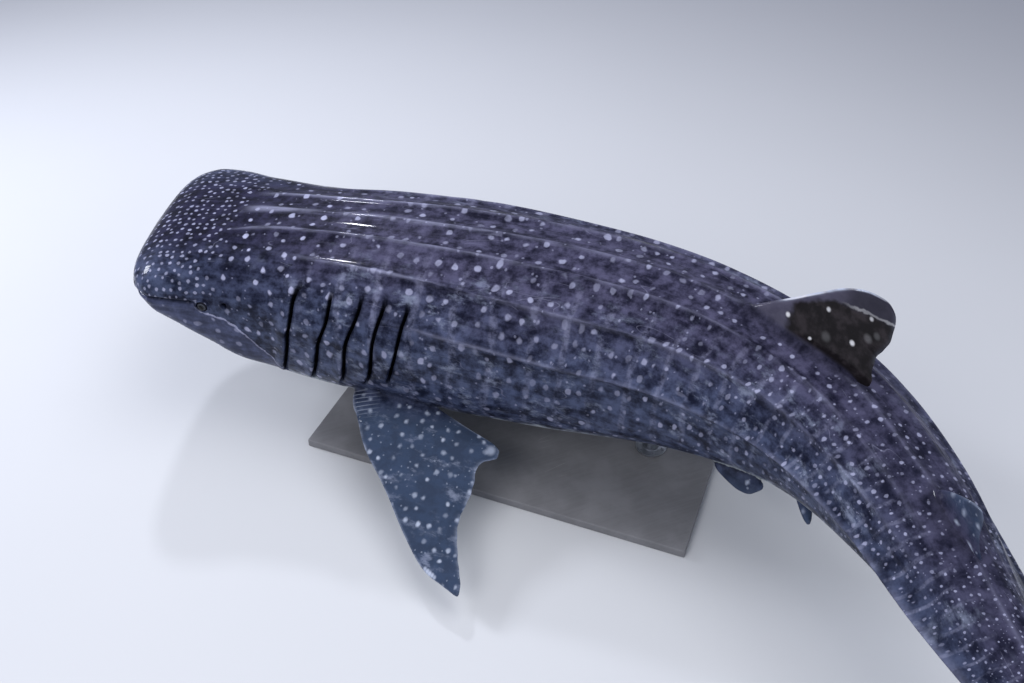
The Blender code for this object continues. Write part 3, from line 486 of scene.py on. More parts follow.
def ring_angles(station):
    """One side of a ring: angles, closer where forms are finer, arc lengths from mid-back, and half girth."""
    fine = np.linspace(0, 180, 721)
    left, height = section(np.full(fine.shape, station), fine)
    run = np.hypot(np.diff(left), np.diff(height))
    arc = np.concatenate([[0.0], np.cumsum(run)])
    middle = (fine[1:] + fine[:-1]) / 2
    density = 1.0
    for (ridge, rise), full in zip(ridges(station), (0.012, 0.015, 0.015, 0.015)):
        away = girth_radius(station) * np.radians(middle - ridge)
        density = density + 2.4 * bump(away, 0.04) * min(1.0, float(rise) / full)
    level = (height[1:] + height[:-1]) / 2
    near_mouth = 4.0 * float(ease(-station, -0.62, -0.45))
    density = density + near_mouth * bump(level - smooth(MOUTH_HEIGHT, station), 0.035)
    density = density * (1 - 0.45 * ease(middle, 125, 150))
    weight = np.concatenate([[0.0], np.cumsum(run * density)])
    angles = np.interp(np.linspace(0, weight[-1], SIDE_POINTS + 1), weight, fine)
    return angles, np.interp(angles, fine, arc), arc[-1]


def flap_rise(ring, angle):
    """Each gill flap swells towards its free edge."""
    out = np.zeros(np.broadcast(ring, angle).shape)
    previous = GILL_STATIONS[0] - FLAP_START
    for slit, station in enumerate(GILL_STATIONS):
        rising = ramp(ring, previous, station)
        here = (ring > previous) & (ring <= station)
        out = np.where(here, slit_reach(slit, angle) * FLAP_SWELL * rising**2, out)
        previous = station + SLIT_ROWS[-1][0]
    return out


def body_rings():
    """Points, and the station, angle, arc, share of girth and painted shade (dark in the slits) of each, one
    row a ring.
    """
    rows = []
    for ring, slit, k in ring_list():
        half, arcs, girth = ring_angles(ring)
        angle = np.concatenate([-half[:0:-1], half])
        arc = np.concatenate([-arcs[:0:-1], arcs])
        at, out, dark = np.full(angle.shape, ring), flap_rise(ring, angle), np.zeros(angle.shape)
        if slit >= 0:
            nominal, true, rise, shade = SLIT_ROWS[k]
            reach = slit_reach(slit, angle)
            at = at + reach * (true - nominal)
            out, dark = reach * rise, reach * shade
        nearest = int(np.argmin(np.abs(np.array(GILL_STATIONS) - ring)))
        near = float(bump(ring - GILL_STATIONS[nearest], 0.07))
        at = at + near * slit_reach(nearest, angle) * slit_wave(nearest, angle)
        points = skin_point(at, angle, out)
        rows.append((points, at - gill_lean(at, angle), angle, arc, arc / girth, dark))
    rows = cap_rows(rows[0], -0.005)[::-1] + rows + cap_rows(rows[-1], BODY_END + 0.004)
    return [np.array(part) for part in zip(*rows)]


def cap_rows(row, end):
    """Shrinking copies of an end ring that close it in a low dome."""
    points, station, angle, arc, share, dark = row
    centre = points.mean(axis=0)
    tip = place(end, 0.0, centre[2])
    made = []
    for size in CAP_SIZES:
        shrunk = centre + (points - centre) * size + (tip - centre) * (1 - size**2)
        made.append((shrunk, station, angle, arc, share, dark))
    return made


def unfolded(station, left, arc):
    """Coordinates of the hide in metres: from above on the flat head, along and round the body elsewhere."""
    slope = (smooth(HALF_WIDTH, station + 0.002) - smooth(HALF_WIDTH, station - 0.002)) / 0.004
    size = np.hypot(slope, 1)
    spare = np.maximum(np.abs(arc) - np.abs(left), 0)
    return np.stack([station - spare * slope / size, np.sign(arc) * (np.abs(left) + spare / size)], axis=-1)


def row_coordinates(station, share):
    """Coordinates in cells of the spots: rows round the body, as long as they are wide."""
    grid = np.linspace(0, BODY_END + 0.1, 400)
    cell = math.pi * np.maximum(girth_radius(grid), 0.05) * 2 / ROWS_OF_SPOTS
    along = np.concatenate([[0.0], np.cumsum(np.diff(grid) / ((cell[1:] + cell[:-1]) / 2))])
    return np.stack([np.interp(station, grid, along), share * ROWS_OF_SPOTS / 2], axis=-1)


def deselect():
    if bpy.context.object and bpy.context.object.mode != "OBJECT":
        bpy.ops.object.mode_set(mode="OBJECT")
    bpy.ops.object.select_all(action="DESELECT")


def activate(obj):
    """Makes one object the only one selected, and the active one."""
    deselect()
    obj.select_set(True)
    bpy.context.view_layer.objects.active = obj


def wrapped_grid(name, points, maps, floats):
    """A grid primitive whose vertices take the given rows of points, with UV maps and point attributes."""
    rows, columns = points.shape[:2]
    deselect()
    bpy.ops.mesh.primitive_grid_add(x_subdivisions=columns - 1, y_subdivisions=rows - 1)
    obj = bpy.context.object
    obj.name = obj.data.name = name
    mesh = obj.data
    move_to(mesh, points)
    corner = np.empty(len(mesh.loops), int)
    mesh.loops.foreach_get("vertex_index", corner)
    while mesh.uv_layers:
        mesh.uv_layers.remove(mesh.uv_layers[0])
    for title, values in maps.items():
        layer = mesh.uv_layers.new(name=title)
        layer.uv.foreach_set("vector", values.reshape(-1, 2)[corner].astype(np.float32).ravel())
    for title, values in floats.items():
        give_values(mesh, title, values)
    mesh.update()
    return obj


def close_up(obj):
    """Welds a wrapped grid's seam and poles, fills its open end and turns its faces outwards."""
    activate(obj)
    bpy.ops.object.mode_set(mode="EDIT")
    bpy.ops.mesh.select_mode(type="VERT")
    bpy.ops.mesh.select_all(action="SELECT")
    bpy.ops.mesh.remove_doubles(threshold=1e-5)
    bpy.ops.mesh.dissolve_degenerate(threshold=1e-6)
    bpy.ops.mesh.select_all(action="DESELECT")
    bpy.ops.mesh.select_non_manifold()
    if obj.data.total_vert_sel:
        bpy.ops.mesh.edge_face_add()
    bpy.ops.mesh.select_all(action="SELECT")
    bpy.ops.mesh.normals_make_consistent(inside=False)
    bpy.ops.object.mode_set(mode="OBJECT")
    return obj


def array_of(collection, field, width=1):
    values = np.empty(len(collection) * width)
    collection.foreach_get(field, values)
    return values.reshape(-1, width) if width > 1 else values


def values_of(mesh, title):
    return array_of(mesh.attributes[title].data, "value")


def give_values(mesh, title, values):
    """Stores a number for each vertex, in an attribute that is made if it isn't there."""
    attribute = mesh.attributes.get(title) or mesh.attributes.new(title, "FLOAT", "POINT")
    attribute.data.foreach_set("value", values.ravel().astype(np.float32))


def move_to(mesh, points):
    mesh.vertices.foreach_set("co", points.reshape(-1, 3).ravel())
    mesh.update()


def site(station, height, side):
    """Point and outward direction on the flank, at a station and a height, on one side."""
    angles = np.linspace(20, 160, 561)
    level = section(np.full(angles.shape, station), angles)[1]
    angle = side * angles[np.argmin(np.abs(level - height))]
    inner, outer = skin_point(station, angle), skin_point(station, angle, 0.01)
    return inner, (outer - inner) / np.linalg.norm(outer - inner)


def split_faces(obj, near):
    """Cuts in four the faces whose middle the test names, for finer forms there."""
    mesh = obj.data
    chosen = near(array_of(mesh.polygons, "center", 3))
    activate(obj)
    mesh.vertices.foreach_set("select", np.zeros(len(mesh.vertices), bool))
    mesh.edges.foreach_set("select", np.zeros(len(mesh.edges), bool))
    mesh.polygons.foreach_set("select", chosen)
    bpy.ops.object.mode_set(mode="EDIT")
    bpy.ops.mesh.select_mode(type="FACE")
    bpy.ops.mesh.subdivide(number_cuts=1)
    bpy.ops.object.mode_set(mode="OBJECT")


def from_line(points, start, end):
    """Distance of each point from a straight line between two points."""
    along = end - start
    t = np.clip((points - start) @ along / (along @ along), 0, 1)
    return np.linalg.norm(points - start - t[:, None] * along, axis=1)


def face_sites():
    """Each eye, spiracle and nostril: its entry in FACE_FORMS, its point and its outward direction."""
    return [(form, *site(form[0], form[1], side)) for side in (1, -1) for form in FACE_FORMS]


def shape_face(body):
    """Lips, nostrils, eye rims and spiracles, on a finer mesh than the rest of the head, with painted shade
    in the mouth line and the hollows.
    """
    sites = face_sites()
    ahead = place(0.3, 0, 0) - place(0.2, 0, 0)
    ahead = ahead / np.linalg.norm(ahead)

    def mouth_near(points, width, back):
        station = (points - place(0.0, 0.0, 0.0)) @ ahead
        return (np.abs(points[:, 2] - BACK_HEIGHT - smooth(MOUTH_HEIGHT, station)) < width) & (station < back)

    def close(points, spread):
        near = [np.linalg.norm(points - point, axis=1) < spread * form[2] for form, point, _ in sites]
        return np.any(near, axis=0)

    split_faces(body, lambda points: close(points, 1.5) | mouth_near(points, 0.022, 0.50))
    split_faces(body, lambda points: close(points, 1.0))
    mesh = body.data
    points = array_of(mesh.vertices, "co", 3)
    station, angle = values_of(mesh, "station"), values_of(mesh, "turn")
    head = (station > 0.001) & (station < 0.78) & (np.abs(angle) < 179)
    points[head] = skin_point(station[head], angle[head])
    move_to(mesh, points)
    normal = array_of(mesh.vertices, "normal", 3)
    level = points[:, 2] - BACK_HEIGHT - smooth(MOUTH_HEIGHT, station)
    reach = ease(-station, -MOUTH_CORNER - 0.03, -MOUTH_CORNER + 0.05)
    groove = -MOUTH_DEPTH * bump(level, MOUTH_WIDTH)
    groove += sum(rise * bump(level - above, spread) for rise, above, spread in LIPS)
    rise, above, spread = LIP_FOLD
    groove -= rise * bump(level - above, spread) * ease(station, 0.1, 0.3)
    points = points + normal * (reach * groove)[:, None]
    # Painted shade: the mouth line's groove is darkened in the base colour.
    dark = np.maximum(values_of(mesh, "hollow"), reach * bump(level, MOUTH_WIDTH * 0.8))
    # Painted shade in each eye socket, spiracle and nostril.
    for (_, _, _, length, depth, floor, edge, shade_from, shade_to, rims), point, out in sites:
        height = (points - point) @ out
        if length:
            away = from_line(points, point - ahead * length / 2, point + ahead * length / 2)
        else:
            away = np.linalg.norm(points - point - height[:, None] * out, axis=1)
        push = -depth * (1 - ease(away, floor, edge))
        for rise, radius, width in rims:
            push = push + rise * bump(away - radius, width)
        here = np.abs(height) < 0.12
        points = points + out * np.where(here, push, 0)[:, None]
        dark = np.maximum(dark, np.where(here, 1 - ease(away, shade_from, shade_to), 0))
    give_values(mesh, "hollow", dark)
    move_to(mesh, points)


def body_skin():
    """The skin of the head, trunk and tail stalk, without fins."""
    points, station, angle, arc, share, dark = body_rings()
    left = section(station, angle)[0]
    below = section(station, angle)[1] - smooth(MOUTH_HEIGHT, station)
    throat = smooth(THROAT_EDGE, station) - smooth(MOUTH_HEIGHT, station)
    jaw = np.clip(throat - below, -0.08, 0.08)
    maps = {
        "hide": unfolded(station, left, arc),
        "rows": row_coordinates(station, share),
        "girth": np.stack([station, share], axis=-1),
    }
    # Where the hide's painted highlight runs along the ridges' edges.
    ridge = ridge_highlight_lines(station, angle)
    floats = {"station": station, "turn": angle, "hollow": dark, "jaw": jaw, "ridge": ridge}
    face_on = np.stack([points[:CAP_ROWS, :, 2] - points[CAP_ROWS, :, 2].max(), left[:CAP_ROWS]], axis=-1)
    face_on[..., 1] *= np.array(CAP_SIZES)[::-1, None]
    maps["hide"][:CAP_ROWS] = face_on
    body = close_up(wrapped_grid("shark_skin", points, maps, floats))
    shape_face(body)
    return body


def spaced(low, high, gap):
    return np.linspace(low, high, max(2, int(round((high - low) / gap)) + 1))


def closing(distance, reach):
    """Share of its full width that a form with a round end has at a distance from the end, if it ends so."""
    return np.sqrt(np.clip(1 - np.clip((reach - distance) / reach, 0, 1) ** 2, 0, 1))


def loose_skin(name, points, along, across, chart, side, spot_gap=SPOT_GAP, ridge=0.0):
    """A closed fin or tube with the body skin's maps and values. Each has its own chart in the maps."""
    zero = np.zeros(points.shape[:2])
    hide = np.stack([zero + along + CHART_GAP * chart, zero + across], axis=-1)
    girth = np.stack([zero - CHART_GAP - chart, zero + side], axis=-1)
    maps = {"hide": hide, "rows": hide / spot_gap, "girth": girth}
    floats = {"station": zero, "turn": zero, "hollow": zero, "jaw": zero - 1, "ridge": zero + ridge}
    return close_up(wrapped_grid(name, points, maps, floats))


def fin_skin(name, outline, thickness, to_world, spans, chart, shares_of_girth, across=22, folds=None,
             wave=0.003, rim=(0.5, 0.3), spot_gap=SPOT_GAP):
    """A fin wrapped from its leading edge over one face to the trailing edge and back under the other."""
    tip = spans[-1]
    corner = min(FIN_CORNER, 0.45 * (outline[-1][2] - outline[-1][1]))
    turn = np.linspace(0, math.pi / 2, 7)
    spans = np.concatenate([spans[spans < tip - corner - 0.002], tip - corner * (1 - np.sin(turn))])
    pulled = corner * (1 - closing(tip - spans, corner))
    lead = smooth([(span, a) for span, a, _ in outline], spans) + pulled
    trail = smooth([(span, b) for span, _, b in outline], spans) - pulled
    trail = trail + wave * np.sin(spans * 61 + chart) * np.sin(spans * 23) * ease(spans, 0.05, 0.15)
    share = (1 - np.cos(np.linspace(0, math.pi, across + 1))) / 2
    bulk = 2.6 * np.sqrt(share) * (1 - share) + 0.06 * (1 - share**6)
    bulk[0] = bulk[-1] = 0.0
    over = np.concatenate([share, share[-2::-1]])
    face = np.concatenate([np.ones(across + 1), -np.ones(across)])
    bulk = np.concatenate([bulk, bulk[-2::-1]]) * face
    half = np.outer(smooth(thickness, spans) / 2 * closing(tip - spans, FIN_TIP), bulk)
    along = lead[:, None] + (trail - lead)[:, None] * over[None, :]
    span = np.repeat(spans[:, None], along.shape[1], axis=1)
    if folds is not None:
        half = half + face[None, :] * folds(along - lead[:, None], span) * (np.abs(bulk) > 0.02)[None, :]
    # Painted highlight along the leading and trailing edges, given to the hide as its ridge value.
    pale = rim[0] * bump(along - lead[:, None], 0.010) + rim[1] * bump(along - trail[:, None], 0.014)
    side = np.where(face > 0, shares_of_girth[0], shares_of_girth[1])
    points = to_world(along, span, half)
    return loose_skin(name, points, along, span, chart, side, spot_gap, pale * ease(span, 0.10, 0.20))


def median_place(origin, edge, up, lean=0.0):
    side, rise = math.sin(math.radians(lean)), math.cos(math.radians(lean))

    def to_world(along, span, half):
        station = origin + along
        height = BACK_HEIGHT + smooth(edge, station) + up * (span * rise - half * side)
        return place(station, half * rise + span * side, height)

    return to_world


def caudal_place(up):
    return lambda along, span, half: place(along, half, BACK_HEIGHT + CAUDAL_MIDDLE + up * span)


def paired_place(root, droop, side):
    station, left, height = root
    out, down = math.cos(math.radians(droop)), math.sin(math.radians(droop))

    def to_world(along, span, half):
        beside = side * (left + span * out + half * down)
        return place(station + along, beside, BACK_HEIGHT + height - span * down + half * out)

    return to_world


def pectoral_folds(along, span):
    """Creases across the fin's root, closest at the leading edge, that curve as they run back."""
    reach = ease(span, 0.03, 0.09) * ease(-span, -0.36, -0.24)
    front = 0.0032 * bump(along, 0.13) + 0.0009 * bump(along - 0.25, 0.2)
    return front * reach * np.sin(2 * math.pi * (span + CREASE_BEND * along**CREASE_POWER) / CREASE_GAP)


def tube_skin(name, line, radii, chart, sides=20):
    """A tapering round form along a line of points, closed at both ends, such as a clasper or barbel."""
    ahead = np.gradient(line, axis=0)
    ahead = ahead / np.linalg.norm(ahead, axis=1)[:, None]
    up = np.cross(ahead, np.cross(np.array([0.0, 0.0, 1.0]), ahead))
    up = up / np.linalg.norm(up, axis=1)[:, None]
    turn = np.linspace(0, 2 * math.pi, sides + 1)
    side = np.cross(ahead, up)
    ring = side[:, None] * np.cos(turn)[None, :, None] + up[:, None] * np.sin(turn)[None, :, None]
    distance = np.concatenate([[0.0], np.cumsum(np.linalg.norm(np.diff(line, axis=0), axis=1))])
    points = line[:, None] + ring * radii[:, None, None]
    return loose_skin(name, points, distance[:, None], turn[None, :] * radii[:, None], chart, 0.55)


def clasper_skin(side, chart):
    fine = np.linspace(0, 1, 36)
    shares = np.linspace(0, 1, len(CLASPER))
    station, left, height, radius = (smooth(list(zip(shares, values)), fine) for values in zip(*CLASPER))
    line = place(station, side * left, BACK_HEIGHT + height)
    return tube_skin("clasper_skin", line, radius * closing(1 - fine, 0.04) * closing(fine, 0.04), chart)


def barbel_skin(side, chart):
    """The short feeler that hangs from the inner end of a nostril."""
    point, out = site(NOSTRIL_STATION - 0.030, NOSTRIL_HEIGHT - 0.006, side)
    distance = np.linspace(0, BARBEL[-1][0], 20)
    drop = np.outer(distance**1.5 * 2.4, np.array([0.0, 0.0, -1.0]))
    line = point - out * 0.014 + np.outer(distance * 0.62, out) + drop
    radii = smooth(BARBEL, distance)
    radii[0] = radii[-1] = 0.0
    return tube_skin("barbel_skin", line, radii, chart, 14)


def fin_skins():
    """Every fin, clasper and barbel, each with the radius of the fillet at its root."""
    first = median_place(DORSAL_ORIGIN, BACK, 1, DORSAL_LEAN)
    second = median_place(DORSAL_SECOND_ORIGIN, BACK, 1)
    anal = median_place(ANAL_ORIGIN, BELLY, -1)
    made = [
        # Its strong leading rim carries the painted highlight along that edge.
        (fin_skin("dorsal_first", DORSAL_FIRST, DORSAL_FIRST_THICKNESS, first, spaced(-0.16, 0.46, 0.014), 1,
                  (0.12, 0.12), 30, rim=(2.4, 0.2)), 0.045),
        (fin_skin("dorsal_second", DORSAL_SECOND, SMALL_FIN_THICKNESS, second, spaced(-0.10, 0.205, 0.013), 2,
                  (0.15, 0.15), 16), 0.025),
        (fin_skin("anal", ANAL, SMALL_FIN_THICKNESS, anal, spaced(-0.10, 0.20, 0.013), 3,
                  (0.62, 0.62), 16), 0.025),
        (fin_skin("caudal_upper", CAUDAL_UPPER, CAUDAL_THICKNESS, caudal_place(1),
                  spaced(-0.04, 1.2, 0.018), 4, (0.25, 0.25)), 0.035),
        (fin_skin("caudal_lower", CAUDAL_LOWER, CAUDAL_THICKNESS, caudal_place(-1),
                  spaced(-0.04, 0.77, 0.018), 5, (0.45, 0.45)), 0.035),
    ]
    pectoral_rows = np.concatenate([
        spaced(-0.12, 0.02, 0.035)[:-1], spaced(0.02, 0.34, 0.006), spaced(0.356, 1.075, 0.016)
    ])
    for side, chart in ((1, 6), (-1, 7)):
        pectoral = paired_place(PECTORAL_ROOT, PECTORAL_DROOP, side)
        pelvic = paired_place(PELVIC_ROOT, PELVIC_DROOP, side)
        made += [
            (fin_skin("pectoral", PECTORAL, PECTORAL_THICKNESS, pectoral, pectoral_rows, chart,
                      (0.40, 0.86), 28, pectoral_folds, 0.004, (1.3, 0.8), 0.078), 0.040),
            (fin_skin("pelvic", PELVIC, PELVIC_THICKNESS, pelvic, spaced(-0.08, 0.178, 0.011), chart + 2,
                      (0.50, 0.88), 16), 0.022),
            (clasper_skin(side, chart + 4), 0.020),
            (barbel_skin(side, chart + 6), 0.005),
        ]
    return made


def unite(body, pieces):
    """One closed skin: the body and its fins by a Boolean union. Each face keeps its piece's number."""
    slots = [bpy.data.materials.new(f"part_{k}") for k in range(len(pieces) + 1)]
    gathered = bpy.data.collections.new("fins")
    bpy.context.scene.collection.children.link(gathered)
    for number, obj in enumerate([body, *pieces]):
        obj.data.materials.clear()
        for slot in slots:
            obj.data.materials.append(slot)
        obj.data.polygons.foreach_set("material_index", np.full(len(obj.data.polygons), number))
        rest = obj.data.attributes.new("rest", "FLOAT_VECTOR", "POINT")
        rest.data.foreach_set("vector", array_of(obj.data.vertices, "co", 3).ravel())
        if obj != body:
            for owner in list(obj.users_collection):
                owner.objects.unlink(obj)
            gathered.objects.link(obj)
    activate(body)
    join = body.modifiers.new("join", "BOOLEAN")
    join.operation, join.solver = "UNION", "MANIFOLD"
    join.operand_type, join.collection = "COLLECTION", gathered
    bpy.ops.object.modifier_apply(modifier=join.name)
    for obj in pieces:
        bpy.data.objects.remove(obj)
    bpy.data.collections.remove(gathered)
    return slots


def edge_ends(mesh):
    ends = np.empty(len(mesh.edges) * 2, int)
    mesh.edges.foreach_get("vertices", ends)
    return ends.reshape(-1, 2)


def neighbour_mean(values, ends, count):
    """Mean of each vertex's neighbours."""
    total = np.zeros_like(values)
    np.add.at(total, ends[:, 0], values[ends[:, 1]])
    np.add.at(total, ends[:, 1], values[ends[:, 0]])
    return total / np.maximum(count, 1)[:, None]


def joints_of(mesh):
    """Vertices where two pieces met in the union, with the number of the higher piece at each."""
    number = array_of(mesh.polygons, "material_index").astype(int)
    corner = array_of(mesh.loops, "vertex_index").astype(int)
    face = np.repeat(np.arange(len(number)), array_of(mesh.polygons, "loop_total").astype(int))
    low = np.full(len(mesh.vertices), 999)
    high = np.full(len(mesh.vertices), -1)
    np.minimum.at(low, corner, number[face])
    np.maximum.at(high, corner, number[face])
    met = np.flatnonzero(high > low)
    return met, high[met]


def nearest(points, targets, chunk=2000):
    """Distance to, and index of, each point's nearest target."""
    best = np.full(len(points), np.inf)
    which = np.zeros(len(points), int)
    for start in range(0, len(points), chunk):
        part = slice(start, start + chunk)
        away = ((points[part, None] - targets[None]) ** 2).sum(-1)
        which[part], best[part] = away.argmin(1), away.min(1)
    return np.sqrt(best), which


def soften_joints(skin, radii):
    """Rounds the crease at each fin's root, and stores how far each vertex is from the nearest one."""
    mesh = skin.data
    points = array_of(mesh.vertices, "co", 3)
    met, piece = joints_of(mesh)
    away, which = nearest(points, points[met])
    radius = np.array([0.02, *radii])[piece[which]]
    weight = bump(away, radius) * FILLET_STRENGTH
    ends = edge_ends(mesh)
    count = np.bincount(ends.ravel(), minlength=len(points))
    near = weight > FILLET_LEAST
    used = near[ends].any(axis=1)
    for _ in range(FILLET_ROUNDS):
        mean = neighbour_mean(points, ends[used], np.bincount(ends[used].ravel(), minlength=len(points)))
        points = np.where(near[:, None], points + (mean - points) * weight[:, None], points)
    give_values(mesh, "seam", np.minimum(away, SEAM_REACH))
    rest = array_of(mesh.attributes["rest"].data, "vector", 3)
    for title in ("hollow", "jaw", "ridge"):
        values = values_of(mesh, title)
        fresh = np.zeros(len(values), bool)
        fresh[met] = np.linalg.norm(rest[met] - points[met], axis=1) > 0.5
        values[fresh] = neighbour_mean(values[:, None], ends, count)[fresh, 0]
        give_values(mesh, title, values)
    move_to(mesh, points)


class Value:
    """What a node puts out. Adding, subtracting and multiplying values adds Math nodes to their tree."""

    def __init__(self, tree, socket):
        self.tree, self.socket = tree, socket

    def __add__(self, other):
        return maths("ADD", self, other)

    def __sub__(self, other):
        return maths("SUBTRACT", self, other)

    def __rsub__(self, other):
        return maths("SUBTRACT", other, self)

    def __mul__(self, other):
        return maths("MULTIPLY", self, other)

    def clamped(self):
        """The same value, kept from 0 to 1 by its own node."""
        self.socket.node.use_clamp = True
        return self

    def beside(self, output):
        """Another output of the same node."""
        return Value(self.tree, self.socket.node.outputs[output])


def set_input(tree, socket, value):
    """Links a value to a socket, or sets the socket to a plain number, colour or vector."""
    if isinstance(value, Value):
        tree.links.new(value.socket, socket)
    elif socket.type == "RGBA":
        socket.default_value = (*value, 1.0)
    else:
        socket.default_value = value


def node(tree, kind, inputs=None, output=0, **settings):
    """Adds a node, sets its properties and its inputs by name or number, and returns one of its outputs."""
    made = tree.nodes.new(kind)
    for name, value in settings.items():
        setattr(made, name, value)
    for key, value in (inputs or {}).items():
        set_input(tree, made.inputs[key], value)
    return Value(tree, made.outputs[output])


def tree_of(*values):
    return next(value.tree for value in values if isinstance(value, Value))


def maths(operation, *values):
    return node(tree_of(*values), "ShaderNodeMath", dict(enumerate(values)), operation=operation)


def either(first, second):
    return maths("MAXIMUM", first, second)


def step(value, low, high):
    """A smooth step of a value from 0 at low to 1 at high."""
    inputs = {"Value": value, "From Min": low, "From Max": high}
    return node(value.tree, "ShaderNodeMapRange", inputs, "Result", interpolation_type="SMOOTHSTEP")


def fade(value, low, high):
    """A smooth step of a value from 1 at low to 0 at high."""
    return 1.0 - step(value, low, high)


def mix(factor, first, second, mode="MIX"):
    """A blend of two colours, each a value or a plain colour."""
    inputs = {0: factor, 6: first, 7: second}
    return node(tree_of(*inputs.values()), "ShaderNodeMix", inputs, 2, data_type="RGBA", blend_type=mode)


def toned(colour, factor):
    return tuple(factor * part for part in colour)


def object_place(tree):
    return node(tree, "ShaderNodeTexCoord", output="Object")


def attribute(tree, name):
    return node(tree, "ShaderNodeAttribute", output="Fac", attribute_name=name)


def parts_of(vector):
    """The first two parts of a vector."""
    first = node(vector.tree, "ShaderNodeSeparateXYZ", {0: vector})
    return first, first.beside(1)


def scaled(vector, *scale):
    return node(vector.tree, "ShaderNodeMapping", {"Vector": vector, "Scale": scale})


def noise(vector, scale, detail=2.0, rough=0.5):
    inputs = {"Vector": vector, "Scale": scale, "Detail": detail, "Roughness": rough}
    return node(vector.tree, "ShaderNodeTexNoise", inputs, "Fac")


def open_group(name, numbers, outputs):
    """A node group that takes a vector and named numbers, and the values of these inputs."""
    tree = bpy.data.node_groups.new(name, "ShaderNodeTree")
    tree.interface.new_socket("Vector", in_out="INPUT", socket_type="NodeSocketVector")
    for title, default in numbers.items():
        made = tree.interface.new_socket(title, in_out="INPUT", socket_type="NodeSocketFloat")
        made.default_value = default
    for title, kind in outputs.items():
        tree.interface.new_socket(title, in_out="OUTPUT", socket_type=f"NodeSocket{kind}")
    given = tree.nodes.new("NodeGroupInput").outputs
    return tree, [Value(tree, given[title]) for title in ("Vector", *numbers)]


def close_group(tree, results):
    """Links a group's results to its outputs, in their order."""
    outputs = tree.nodes.new("NodeGroupOutput").inputs
    for number, value in enumerate(results):
        set_input(tree, outputs[number], value)
    return tree


def spots_group():
    """Round pale spots, one in each cell of a loose grid, with sizes that vary and some left out."""
    tree, (vector, scale, scatter, radius, softness, share) = open_group(
        "round_spots",
        {"Scale": 1.0, "Scatter": 0.6, "Radius": 0.16, "Softness": 0.04, "Share": 0.9},
        {"Mask": "Float", "Centre": "Vector", "Random": "Float"},
    )
    ripple = (noise(vector, scale * 2.6, 1.0) - 0.5) * 0.30
    inputs = {"Vector": vector, "Scale": scale, "Randomness": scatter}
    distance = node(tree, "ShaderNodeTexVoronoi", inputs, "Distance", voronoi_dimensions="2D", feature="F1")
    size = node(tree, "ShaderNodeSeparateColor", {0: distance.beside("Color")})
    radius = radius * (size * 0.6 + 0.7)
    inside = fade(distance + ripple, radius - softness, radius + softness)
    kept = maths("LESS_THAN", size.beside(1), share)
    return close_group(tree, (inside * kept, distance.beside("Position"), size.beside(2)))


def scratches_group():
    """Thin pale scratches: short stretches of the contour lines of a noise drawn out along the first axis."""
    tree, (vector, scale, stretch, width, amount) = open_group(
        "scratches", {"Scale": 4.0, "Stretch": 0.2, "Width": 0.006, "Amount": 0.58}, {"Mask": "Float"}
    )
    first, second = parts_of(vector)
    drawn = node(tree, "ShaderNodeCombineXYZ", {0: first * stretch, 1: second})
    away = maths("ABSOLUTE", noise(drawn, scale, 1.0) - 0.5)
    here = step(noise(vector, 4.3), amount, amount + 0.04)
    return close_group(tree, [fade(away, 0.0, width) * here])


def grain_group():
    """Fine hide: tiny tooth-like grain over soft creases. Height in metres for a Bump node."""
    numbers = {"Grain": 0.0006, "Crease": 0.002}
    tree, (vector, grain, crease) = open_group("hide_grain", numbers, {"Height": "Float"})
    fine, soft, wide = noise(vector, 260.0, 2.0, 0.6), noise(vector, 34.0, 3.0, 0.55), noise(vector, 9.0, 3.0)
    return close_group(tree, [fine * grain + soft * crease + wide * crease * 2.4])


GROUPS = {"round_spots": spots_group, "scratches": scratches_group, "hide_grain": grain_group}


def group(name, vector, *numbers):
    """Places a shared node group, built when first asked for, with its numbers in their order."""
    made = bpy.data.node_groups.get(name) or GROUPS[name]()
    return node(vector.tree, "ShaderNodeGroup", dict(enumerate((vector, *numbers))), node_tree=made)


def new_material(name):
    """A material with no nodes yet, and its tree."""
    made = bpy.data.materials.new(name)
    made.use_nodes = True
    made.node_tree.nodes.clear()
    return made, made.node_tree


def surface(made, inputs, height=None):
    """Gives a material its shader, with inputs by name and a bump of the given height in metres."""
    tree = made.node_tree
    if height is not None:
        inputs["Normal"] = node(tree, "ShaderNodeBump", {"Strength": 1.0, "Distance": 1.0, "Height": height})
    shader = node(tree, "ShaderNodeBsdfPrincipled", inputs)
    set_input(tree, tree.nodes.new("ShaderNodeOutputMaterial").inputs["Surface"], shader)
    return made


def add_marks(marks, where, table, core, rim):
    """Adds a fin's own round marks. Core and rim are where a mark starts to fade and ends, in its radii."""
    for along, up, radius, strength in table:
        inputs = {0: where, 1: (along, up, 0.0)}
        away = node(where.tree, "ShaderNodeVectorMath", inputs, "Value", operation="DISTANCE")
        marks = either(marks, fade(away, core * radius, rim * radius) * strength)
    return marks


